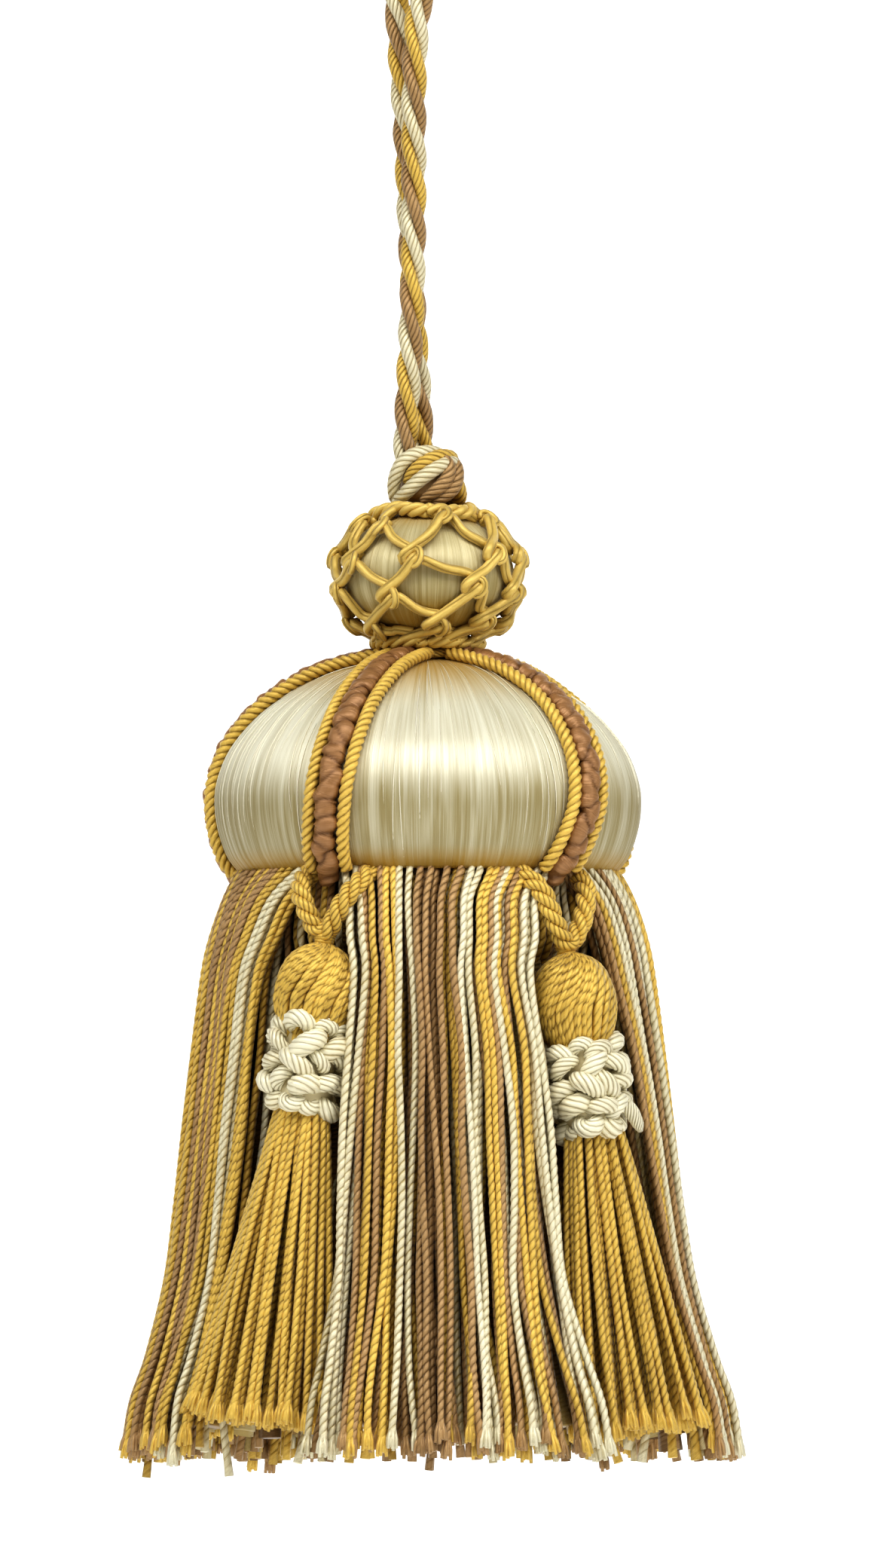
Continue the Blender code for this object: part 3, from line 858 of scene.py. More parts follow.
@dataclass
class HangingCord:
    """The doubled three-ply cord and its loop: one leg up, the arch over the hook, one leg down."""

    palette: Palette
    radius: float = 2.1
    pitch: float = 18.8
    yarn_pitch: float = 6.5
    loop_radius: float = 8.6
    step: float = 0.8
    tone: float = 0.15
    front_leg: tuple = (
        (-3.2, -1.4, -103.0), (-3.6, -2.0, -99.9), (-3.3, -2.3, -92), (-2.8, -2.3, -82),
        (-2.4, -2.3, -70), (-2.3, -2.3, -58), (-2.3, -2.3, -46), (-2.1, -2.3, -36), (-1.2, -2.1, -27.3),
        (1.6, -1.5, -20), (5.6, -0.6, -13.6),
    )
    back_leg: tuple = (
        (-7.8, 0.6, -13.6), (-6.5, 1.6, -20), (-5.2, 2.2, -27.3), (-4.5, 2.3, -36), (-3.8, 2.3, -46),
        (-3.2, 2.3, -58), (-2.7, 2.3, -70), (-2.1, 2.3, -82), (-1.4, 2.3, -92), (-1.0, 2.0, -99.9),
        (-0.8, 1.6, -103.0),
    )
    loop_angles: tuple = (-8, 16, 40, 65, 90, 115, 140, 164, 188)

    def route(self) -> Array:
        """The cord's centreline.

        Returns:
            Its points, in metres.
        """
        angles = np.radians(self.loop_angles)
        heights = self.radius - self.loop_radius + self.loop_radius * np.sin(angles)
        arch = np.column_stack([self.loop_radius * np.cos(angles), 0 * angles, heights])
        return smooth_route(np.array([*self.front_leg, *arch, *self.back_leg]) * MM, self.step * MM)

    def build(self) -> None:
        centres = self.route()
        sides = carried_sides(centres, np.array([1.0, 0.0, 0.0]))
        basket = Basket()
        lay_plies(basket, centres, sides, self.radius * MM, self.pitch * MM, Twist.S, (0, 1, 2),
                  self.yarn_pitch * MM, self.tone)
        finishes = [self.palette.taupe_yarn, self.palette.gold_yarn, self.palette.cream_yarn]
        piece = settle(basket.build("hanging_cord", finishes), "hanging_cord", "hanging_loop")


def lay_plies(basket: Basket, centres: Array, sides: Array, radius: float, pitch: float, twist: Twist,
              slots: tuple[int, ...], yarn_pitch: float, tone: float = 0.0,
              section: Section = SIX_YARNS) -> None:
    """Twists three plies round a centreline, each a bundle of yarns that turns the other way.

    Args:
        basket: takes the plies.
        centres: the cord's centreline.
        sides: directions across it.
        radius: the cord's radius.
        pitch: the length of one turn of a ply round the cord.
        twist: the way the plies turn.
        slots: each ply's material slot.
        yarn_pitch: the length of one turn of the yarns in a ply.
        tone: how much darker the cord is painted.
        section: a ply's outline.
    """
    ply_radius = radius / (1 + 2 / math.sqrt(3))
    offset = radius - ply_radius
    rises = np.cross(directions(centres), sides)
    other = Twist.Z if twist is Twist.S else Twist.S
    for index, slot in enumerate(slots):
        turn = twist.value * 2 * math.pi / pitch * travelled(centres) + 2 * math.pi * index / len(slots)
        line = centres + offset * (np.cos(turn)[:, None] * sides + np.sin(turn)[:, None] * rises)
        ply_sides = carried_sides(line, sides[0])
        basket.add_tube(line, ply_radius * 1.04, section, yarn_pitch, other, ply_sides, tone, index, slot)


@dataclass
class TopKnot:
    """The cord wrapped into a knot over the ball.

    Core is the outline of what the turns lie on, as radius and height. Each turn is the places
    that one ply runs through.
    """

    palette: Palette
    ply_radius: float = 1.25
    yarn_pitch: float = 7.5
    tone: float = 0.18
    squeeze: tuple = (0.92, 0.92, 1.0)
    core: tuple = ((0.3, -100.4), (3.4, -100.8), (4.4, -103), (4.6, -106), (4.1, -108.6), (0.3, -109.4))
    cream_turns: tuple = (
        ((-5.2, 1.5, -109.0), (-6.0, -1.4, -108.3), (-5.9, -3.2, -105.7), (-4.6, -4.3, -103.0),
         (-2.2, -4.5, -101.5), (0.6, -3.6, -101.1), (2.6, -1.2, -101.6), (3.0, 1.8, -102.6)),
        ((-4.6, 1.4, -109.6), (-5.4, -2.0, -109.2), (-3.9, -4.8, -107.8), (-1.4, -5.9, -105.7),
         (1.2, -5.8, -104.0), (3.4, -4.4, -102.9), (4.6, -1.6, -102.6), (4.2, 1.6, -103.4)),
        ((4.9, -0.4, -106.2), (4.2, 3.2, -105.6), (0.6, 5.2, -105.2), (-3.4, 4.2, -105.6),
         (-5.4, 0.8, -106.4)),
    )
    gold_turns: tuple = (
        ((-4.0, -3.6, -106.0), (-2.6, -4.9, -104.3), (-0.2, -5.1, -102.7), (2.3, -4.0, -101.8),
         (4.2, -1.8, -101.9), (4.4, 1.6, -102.8)),
        ((3.9, -4.7, -104.2), (5.3, -3.4, -106.0), (5.7, -1.2, -108.0), (4.6, 2.0, -109.0),
         (0.6, 5.0, -108.6), (-3.4, 4.2, -108.4)),
    )
    brown_turns: tuple = (
        ((1.6, -4.2, -101.6), (3.6, -4.6, -103.0), (3.4, -5.3, -105.4), (1.4, -5.9, -107.5),
         (-1.2, -5.2, -109.2)),
        ((4.6, -1.4, -101.9), (5.2, -3.0, -104.0), (4.8, -4.3, -106.4), (3.2, -5.1, -108.2),
         (0.8, -5.3, -109.6)),
        ((-3.2, 3.2, -102.2), (0.4, 4.9, -102.8), (3.9, 3.6, -103.6), (5.2, 0.6, -104.6)),
    )

    def build(self) -> None:
        """Lays the turns over the knot's core."""
        basket = Basket()
        for slot, turns in enumerate((self.cream_turns, self.gold_turns, self.brown_turns)):
            for turn in turns:
                line = smooth_route(np.array(turn) * self.squeeze * MM, 0.45 * MM)
                swell = np.sin(np.linspace(0.12, math.pi - 0.12, len(line))) ** 0.4
                basket.add_tube(line, self.ply_radius * MM * swell, SIX_YARNS, self.yarn_pitch * MM, Twist.Z,
                                tone=self.tone, slot=slot)
        finishes = [self.palette.cream_yarn, self.palette.gold_yarn, self.palette.taupe_yarn]
        settle(basket.build("knot_turns", finishes), "knot_cord", "top_knot")
        core = smooth_route(np.array([(r, 0.0, z) for r, z in self.core]) * MM, 0.6 * MM)
        outline = np.column_stack([core[:, 0], core[:, 2]])
        settle(turned("knot_core", outline, 28, self.palette.taupe_yarn), "knot_cord", "top_knot")


@dataclass
class NettedBall:
    """The floss-wound ball and the gimp net knotted round it.

    Nudges says how far knots lie east and north of the even net, by row and column. A foot ring
    has its radius, height, thickness and slot. Hitch is the turn of gimp over a knot: distances
    east and north of it, and the lift in gimp radii.
    """

    palette: Palette
    centre: float = -121.3
    radius: float = 14.1
    half_height: float = 10.9
    mean_radius: float = 12.5
    rows: int = 44
    segments: int = 96
    gimp_radius: float = 0.92
    gimp_pitch: float = 60.0
    gimp_step: float = 0.58
    ring_pitch: float = 6.6
    foot_pitch: float = 7.0
    columns: int = 8
    seed: int = 3
    latitudes: tuple = (62.0, 44.0, 15.0, -13.0, -38.0, -61.0, -78.0)
    first_azimuth: float = 31.8
    row_shift: float = -20.0
    foot_rings: tuple = (
        (6.6, -131.7, 0.75, 1), (4.6, -132.9, 1.0, 0), (5.9, -133.0, 0.8, 1), (6.9, -133.9, 0.75, 0),
        (5.4, -134.0, 0.9, 1),
    )
    nudges: dict = field(default_factory=lambda: {
        (1, 0): (-0.4, 6.0), (1, 1): (6.0, 4.0), (1, 7): (-8.0, -5.0), (2, 0): (-1.0, -3.0),
        (2, 1): (9.6, 1.0), (2, 7): (0.0, -6.0), (3, 0): (3.4, -5.0), (3, 1): (12.8, 3.4),
        (3, 2): (4.0, 0.0), (4, 0): (-2.0, -8.0), (4, 1): (10.0, -4.0), (4, 2): (5.0, 0.0),
        (5, 1): (3.0, 0.0), (5, 2): (4.0, 0.0),
    })

    hitch: tuple = (
        (-0.3, -1.0, 1.2), (0.4, -1.6, 2.1), (1.1, -0.8, 2.5), (1.2, 0.5, 2.5), (0.7, 1.3, 2.0),
        (0.1, 0.7, 1.2),
    )

    def knot_place(self, row: int, column: int) -> tuple[float, float]:
        """Where a knot is, hand-tied a little off the even net.

        Args:
            row: its row, from the top.
            column: its place along the row.

        Returns:
            Its azimuth and latitude in degrees.
        """
        turns, place = divmod(column, self.columns)
        east, north = self.nudges.get((row, place), (0.0, 0.0))
        azimuth = self.first_azimuth + self.row_shift * row + 360 / self.columns * place + east + 360 * turns
        return azimuth, self.latitudes[row] + north

    def build_ball(self) -> None:
        """Winds the ball."""
        angles = np.radians(np.linspace(88.5, -88.5, self.rows))
        heights = self.centre + self.half_height * np.sin(angles)
        outline = np.column_stack([self.radius * np.cos(angles), heights]) * MM
        ball = turned("ball_floss", outline, self.segments, self.palette.ball_floss)
        settle(ball, "cream_floss", "ball")

    def spot(self, azimuth: float, latitude: float, lift: float) -> Array:
        """A point over the ball, in millimetres.

        Args:
            azimuth: degrees from the front.
            latitude: degrees above the ball's middle.
            lift: millimetres above the floss.

        Returns:
            The point.
        """
        tilt = math.radians(latitude)
        return polar((self.radius + lift) * math.cos(tilt), azimuth,
                     self.centre + (self.half_height + lift) * math.sin(tilt))

    def near_knot(self, row: int, column: int, east: float, north: float, lift: float) -> Array:
        """A point a little east and north of a knot, in millimetres.

        Args:
            row: the knot's row, from the top.
            column: its place along the row.
            east: the distance to the right.
            north: the distance upwards.
            lift: millimetres above the floss.

        Returns:
            The point.
        """
        azimuth, latitude = self.knot_place(row, column)
        across = max(0.25, math.cos(math.radians(latitude))) * self.radius
        latitude += math.degrees(north / self.mean_radius)
        return self.spot(azimuth + math.degrees(east / across), latitude, lift)

    def lay(self, basket: Basket, points: list[Array], radius: float, tone: float) -> None:
        """Lays one piece of gimp through points in millimetres."""
        line = smooth_route(np.array(points) * MM, self.gimp_step * MM)
        basket.add_tube(line, radius * MM, GIMP, self.gimp_pitch * MM, tone=tone)

    def build_net(self) -> None:
        """Knots the net, row by row."""
        dice = random.Random(self.seed)
        basket = Basket()
        r = self.gimp_radius
        for row in range(len(self.latitudes) - 1):
            for column in range(self.columns):
                tone = dice.uniform(-0.1, 0.1)
                jig = [dice.uniform(-0.25, 0.25) for _ in range(6)]
                if row > 0:
                    slash = [
                        self.near_knot(row, column, 0.9 + jig[0], 0.1, 1.0 * r),
                        self.near_knot(row, column, 0.2, -0.4, 2.0 * r),
                        self.between((row, column), (row + 1, column), 0.5, jig[1], 1.2 * r),
                        self.near_knot(row + 1, column, -0.7, 0.9 + jig[2], 1.9 * r),
                        self.near_knot(row + 1, column, -1.5, 0.1, 1.8 * r),
                        self.near_knot(row + 1, column, -1.2, -0.8, 1.0 * r),
                    ]
                    self.lay(basket, slash, r, tone)
                    hitch = [self.near_knot(row, column, east, north, lift * r)
                             for east, north, lift in self.hitch]
                    self.lay(basket, hitch, 0.66 * r, tone)
                back = [
                    self.near_knot(row, column, 0.1, -0.2, 0.9 * r),
                    self.near_knot(row, column, 1.6, -0.3 + jig[3], 1.6 * r),
                    self.between((row, column), (row + 1, column + 1), 0.5, jig[4] + 0.5, 1.1 * r),
                    self.near_knot(row + 1, column + 1, -1.4, 2.2 + jig[5], 0.9 * r),
                    self.near_knot(row + 1, column + 1, 0.5, 1.4, 0.5 * r),
                ]
                self.lay(basket, back, 0.9 * r, tone)
        settle(basket.build("net_gimp", [self.palette.gimp]), "gold_gimp", "ball_net")

    def between(self, first: tuple[int, int], second: tuple[int, int], share: float, north: float,
                lift: float) -> Array:
        """A point between two knots, in millimetres.

        Args:
            first: row and column of one knot.
            second: row and column of the other.
            share: the share of the way.
            north: how far above the straight way.
            lift: millimetres above the floss.

        Returns:
            The point.
        """
        places = [self.knot_place(*knot) for knot in (first, second)]
        azimuth = places[0][0] + share * (places[1][0] - places[0][0])
        latitude = places[0][1] + share * (places[1][1] - places[0][1])
        return self.spot(azimuth, latitude + math.degrees(north / self.mean_radius), lift)

    def build_rings(self) -> None:
        """Twists the ring that gathers the net under the knot, and the one at its foot."""
        basket = Basket()
        for latitude, radius, lift in ((60.0, 1.1, 1.3), (-72.0, 1.1, 1.5), (-58.0, 1.0, 1.9)):
            ring = []
            for a in range(0, 361, 12):
                wave = 3.0 * math.sin(3 * math.radians(a) + latitude) + 1.5 * math.sin(5 * math.radians(a))
                ring.append(self.spot(a, latitude + wave * (latitude > 0), lift))
            line = smooth_route(np.array(ring) * MM, 0.4 * MM)
            sides = carried_sides(line, np.array([0.0, 0.0, 1.0]))
            lay_plies(basket, line, sides, radius * 1.15 * MM, self.ring_pitch * MM, Twist.S, (0, 0, 0),
                      4.0 * MM, section=ROUND)
        for ring_radius, height, thickness, slot in self.foot_rings:
            angles = np.radians(np.arange(0, 361, 12))
            dip = 0.25 * np.sin(2 * angles + height)
            ring = [ring_radius * np.sin(angles), ring_radius * np.cos(angles), height + dip]
            line = np.column_stack(ring) * MM
            basket.add_tube(line, thickness * MM, SIX_YARNS, self.foot_pitch * MM, slot=slot)
        finishes = [self.palette.gimp, self.palette.taupe_yarn]
        settle(basket.build("net_rings", finishes), "gold_gimp", "ball_net")

    def build(self) -> None:
        """Builds the ball and its net."""
        self.build_ball()
        self.build_net()
        self.build_rings()


@dataclass
class Dome:
    """The floss-wound dome with its ribs and edge cords.

    Outline is radius and height from the crown to the rim. Drifts says how far each rib strays
    from its azimuth at the shares of the outline's length.
    """

    palette: Palette
    outline: tuple = (
        (0.05, -134.4), (6.0, -134.9), (12.0, -136.0), (18.0, -137.9), (23.6, -141.0), (28.2, -144.6),
        (32.2, -149.6), (34.2, -154.4), (34.7, -158.2), (34.2, -162.6), (32.7, -167.0), (31.0, -169.3),
    )
    start: float = 0.13
    shares: tuple = (0.13, 0.42, 0.62, 0.72, 0.82, 0.92, 1.0)
    drifts: tuple = (
        (4.0, 3.0, 2.7, 2.0, 0.8, -0.8, -2.0),
        (6.0, 7.0, 4.5, 3.5, 2.3, -0.5, -3.0),
        (5.0, 5.0, 3.5, 2.5, 1.0, -1.0, -3.0),
        (5.0, 5.0, 3.5, 2.5, 1.0, -1.0, -3.0),
        (3.0, 2.0, 0.0, -1.5, -2.5, -3.0, -4.0),
    )
    rib_half_width: float = 2.0
    rib_half_height: float = 1.45
    edge_radius: float = 1.12
    edge_offset: float = 3.2
    edge_pitch: float = 4.1
    segments: int = 260
    strays: int = 150
    lock_seed: int = 4
    stray_seed: int = 8
    rib_seed: int = 20
    line_points: Array = field(default_factory=lambda: np.zeros((2, 3)))

    def line(self, step: float) -> Array:
        """The dome's outline as evenly spaced rows of radius, 0 and height, in metres."""
        return smooth_route(np.array([(r, 0.0, z) for r, z in self.outline]) * MM, step)

    def azimuth(self, index: int, travel: float) -> float:
        """A rib's azimuth at a share of the outline's length."""
        return RIB_AZIMUTHS[index] + float(np.interp(travel, self.shares, self.drifts[index]))

    def spot(self, travel: float, rise: float) -> tuple[float, float]:
        """Radius and height at a share of the outline's length, lifted off it.

        Args:
            travel: the share, which may pass 1 a little.
            rise: how far off the floss, in metres.

        Returns:
            The radius and the height, in metres.
        """
        line = self.line_points
        at = travel * (len(line) - 1)
        k = min(int(at), len(line) - 2)
        ahead = line[k + 1] - line[k]
        point = line[k] + ahead * (at - k)
        ahead = ahead / np.linalg.norm(ahead)
        return point[0] - ahead[2] * rise, point[2] + ahead[0] * rise

    def laid(self, index: int, across: float, rise: float, end: float, step: float) -> Array:
        """A route down the dome beside a rib's middle, in metres.

        Args:
            index: the rib's number.
            across: how far to the side, in metres.
            rise: how far off the floss, in metres.
            end: the share of the outline where it stops.
            step: the distance between points.

        Returns:
            The route.
        """
        points = []
        for travel in np.linspace(self.start, end, 48):
            turn = math.radians(self.azimuth(index, travel))
            radius, height = self.spot(travel, rise)
            depth = -math.sqrt(max(0.0, radius**2 - across**2))
            points.append((across * math.cos(turn) - depth * math.sin(turn),
                           across * math.sin(turn) + depth * math.cos(turn), height))
        return evenly(np.array(points), step)

    def build_floss(self) -> None:
        """Winds the dome, drawn in a little at the ribs and turned under at its rim."""
        line = self.line(1.15 * MM)
        under = np.array([(30.4, 0, -169.75), (29.4, 0, -169.6), (28.8, 0, -168.6)]) * MM
        outline = np.vstack([line, under])[:, [0, 2]]
        segments = self.segments
        azimuths = np.arange(segments) * 360 / segments
        ribs = [self.azimuth(index, 0.75) for index in range(len(RIB_AZIMUTHS))]
        near = np.min([np.abs((azimuths - rib + 180) % 360 - 180) for rib in ribs], axis=0)
        dice = np.random.default_rng(self.lock_seed)
        thrice = np.tile(dice.normal(0, 1, segments), 3)
        locks = np.convolve(thrice, np.ones(3) / 3, "same")[segments:2 * segments]
        bulge = (0.32 * np.minimum(1.0, near / 16) - 0.22 + 0.03 * locks) * MM
        settle(turned("dome_floss", outline, segments, self.palette.floss, bulge), "cream_floss", "dome")

    def build_stray_floss(self) -> None:
        """Lays the thin locks of floss that stand a little proud of the dome."""
        dice = random.Random(self.stray_seed)
        basket = Basket()
        for _ in range(self.strays):
            azimuth = dice.uniform(0, 360)
            first = dice.uniform(0.14, 0.6)
            last = min(0.97, first + dice.uniform(0.18, 0.5))
            thick = dice.uniform(0.05, 0.13)
            lean = dice.uniform(-2.5, 2.5)
            points = []
            for k, travel in enumerate(np.linspace(first, last, 16)):
                lift = thick * 0.5 * math.sin(math.pi * k / 15) * MM + 0.08 * MM
                radius, height = self.spot(travel, lift)
                points.append(polar(radius, azimuth + lean * k / 15, height))
            line = np.array(points)
            swell = np.sin(np.linspace(0.1, math.pi - 0.1, len(line))) ** 0.6
            basket.add_tube(line, thick * swell * MM, HAIR, tone=dice.uniform(-0.25, 0.2))
        settle(basket.build("dome_stray_floss", [self.palette.stray]), "cream_floss")

    def build_rib(self, index: int) -> None:
        """Lays one crimped wrap, creased aslant as it was drawn tight.

        Args:
            index: the rib's number, from 0.
        """
        dice = random.Random(self.rib_seed + index)
        step = 0.32 * MM
        route = self.laid(index, 0.0, self.rib_half_height * 0.9 * MM, 1.0, step)
        tail_way = unit(unit(route[-1] - route[-3]) + np.array([0.0, 0.0, -0.35]))
        tail = [route[-1] + tail_way * step * k for k in range(1, 9)]
        line = np.vstack([route, tail])
        lengths = travelled(line) / MM
        turn = math.radians(self.azimuth(index, 0.7))
        aside = np.array([math.cos(turn), math.sin(turn), 0.0])
        sway = 0.22 * np.sin(lengths * 0.9 + dice.uniform(0, 6))
        sway += 0.12 * np.sin(lengths * 2.3 + dice.uniform(0, 6))
        line = line + aside * (sway * MM)[:, None]
        sides = plumb_sides(line, aside)
        angles = WRAP.angles()[None, :]
        fold = np.zeros((len(line), WRAP.points))
        at = dice.uniform(0.5, 2.0)
        while at < lengths[-1] - 1.2:
            slant = dice.choice((-1, 1, 1)) * dice.uniform(0.5, 1.7)
            depth = dice.uniform(0.55, 1.0)
            far = (lengths[:, None] + slant * np.cos(angles) - at) / dice.uniform(0.32, 0.55)
            fold = np.maximum(fold, depth * np.exp(-far**2))
            at += dice.uniform(1.9, 3.9)
        puff = 1 + 0.07 * np.sin(lengths * 1.7 + dice.uniform(0, 6)) + 0.05 * np.sin(lengths * 3.1)
        taper = np.minimum(1.0, 0.78 + 0.22 * lengths / 16) * puff
        rest = np.clip((lengths[-1] - lengths + 0.04) / 1.9, 0, 1)
        tip = np.sqrt(1 - (1 - rest) ** 2)
        flat = np.hypot(self.rib_half_width * np.cos(angles), self.rib_half_height * np.sin(angles))
        radius = flat * (1 - 0.27 * fold) * (taper * tip)[:, None]
        basket = Basket()
        basket.add_tube(line, radius * MM, WRAP, sides=sides)
        # The folds also darken the wrap's colour, as painted shade.
        basket.fold_shades[-1] = fold.ravel() ** 1.5
        settle(basket.build(f"rib_wrap_{index + 1}", [self.palette.wrap]), "brown_wrap", f"rib_{index + 1}")

    def build_edges(self, index: int) -> None:
        """Lays the two twisted cords beside a rib.

        Args:
            index: the rib's number, from 0.
        """
        turn = math.radians(self.azimuth(index, 0.7))
        for side, name in ((-1, "left"), (1, "right")):
            line = self.laid(index, side * self.edge_offset * MM, self.edge_radius * MM, 0.995, 0.36 * MM)
            basket = Basket()
            sides = plumb_sides(line, np.array([math.cos(turn), math.sin(turn), 0.0]))
            basket.add_tube(line, self.edge_radius * 1.04 * MM, EDGE, self.edge_pitch * MM, sides=sides)
            piece = basket.build(f"edge_twist_{index + 1}_{name}", [self.palette.gold_yarn])
            settle(piece, "gold_cord", f"edge_cord_{index + 1}_{name}")

    def build(self) -> None:
        """Builds the dome and all that is sewn to it."""
        self.line_points = self.line(0.5 * MM)
        self.build_floss()
        self.build_stray_floss()
        for index in range(len(RIB_AZIMUTHS)):
            self.build_rib(index)
            self.build_edges(index)


@dataclass(frozen=True)
class SmallPlace:
    """Where the small tassels hang."""

    azimuths: tuple = (-29.0, 40.5, 113.0, 185.0, 256.0)
    radii: tuple = (34.5, 34.5, 30.5, 34.0, 28.6)
    leans: tuple = (5.5, 5.5, 6.0, 6.0, 6.0)
    swings: tuple = (5.8, -6.4, -1.5, 2.0, 3.0)
    tops: tuple = (-181.9, -183.4, -182.3, -181.6, -182.6)

    def at(self, index: int, height: float) -> tuple[float, float]:
        """Where a small tassel's middle is.

        Args:
            index: its number, from 0.
            height: the height, in millimetres.

        Returns:
            The azimuth in degrees and the radius in millimetres there.
        """
        down = max(0.0, self.tops[index] - height)
        radius = self.radii[index] + down * math.tan(math.radians(self.leans[index]))
        aside = -down * math.tan(math.radians(self.swings[index]))
        return self.azimuths[index] + math.degrees(math.atan2(aside, radius)), math.hypot(radius, aside)

    def spoke(self, index: int) -> Matrix:
        """The turn about the axis that brings the front to a small tassel."""
        return Matrix.Rotation(math.radians(self.azimuths[index]), 4, "Z")

    def matrix(self, index: int) -> Matrix:
        """A small tassel's own frame: the middle of its top, hanging down -Z.

        Args:
            index: its number, from 0.

        Returns:
            The frame's place in the tassel.
        """
        shift = Matrix.Translation(Vector((0, -self.radii[index], self.tops[index])) * MM)
        lean = Euler((math.radians(-self.leans[index]), math.radians(self.swings[index]), 0))
        return self.spoke(index) @ shift @ lean.to_matrix().to_4x4()


class Colour(Enum):
    """The three yarn colours of the skirt."""

    CREAM = 0
    GOLD = 1
    TAUPE = 2


CREAM, GOLD, TAUPE = Colour


@dataclass(frozen=True)
class Layer:
    """One layer of the skirt's yarns.

    Spacing is the distance between two yarns at the skirt's middle height, inward how far
    inside the skirt's face they hang, top_inward the same under the dome, step the distance
    between two rings of a yarn's mesh, and lower how far below the skirt's end they reach.
    All are in millimetres. The deeper a layer hangs inside the skirt, the more painted shade darkens its
    yarns.
    """

    spacing: float
    inward: float
    top_inward: float
    section: Section
    step: float
    tone: float
    radius: float = 0.67
    lower: float = 0.0


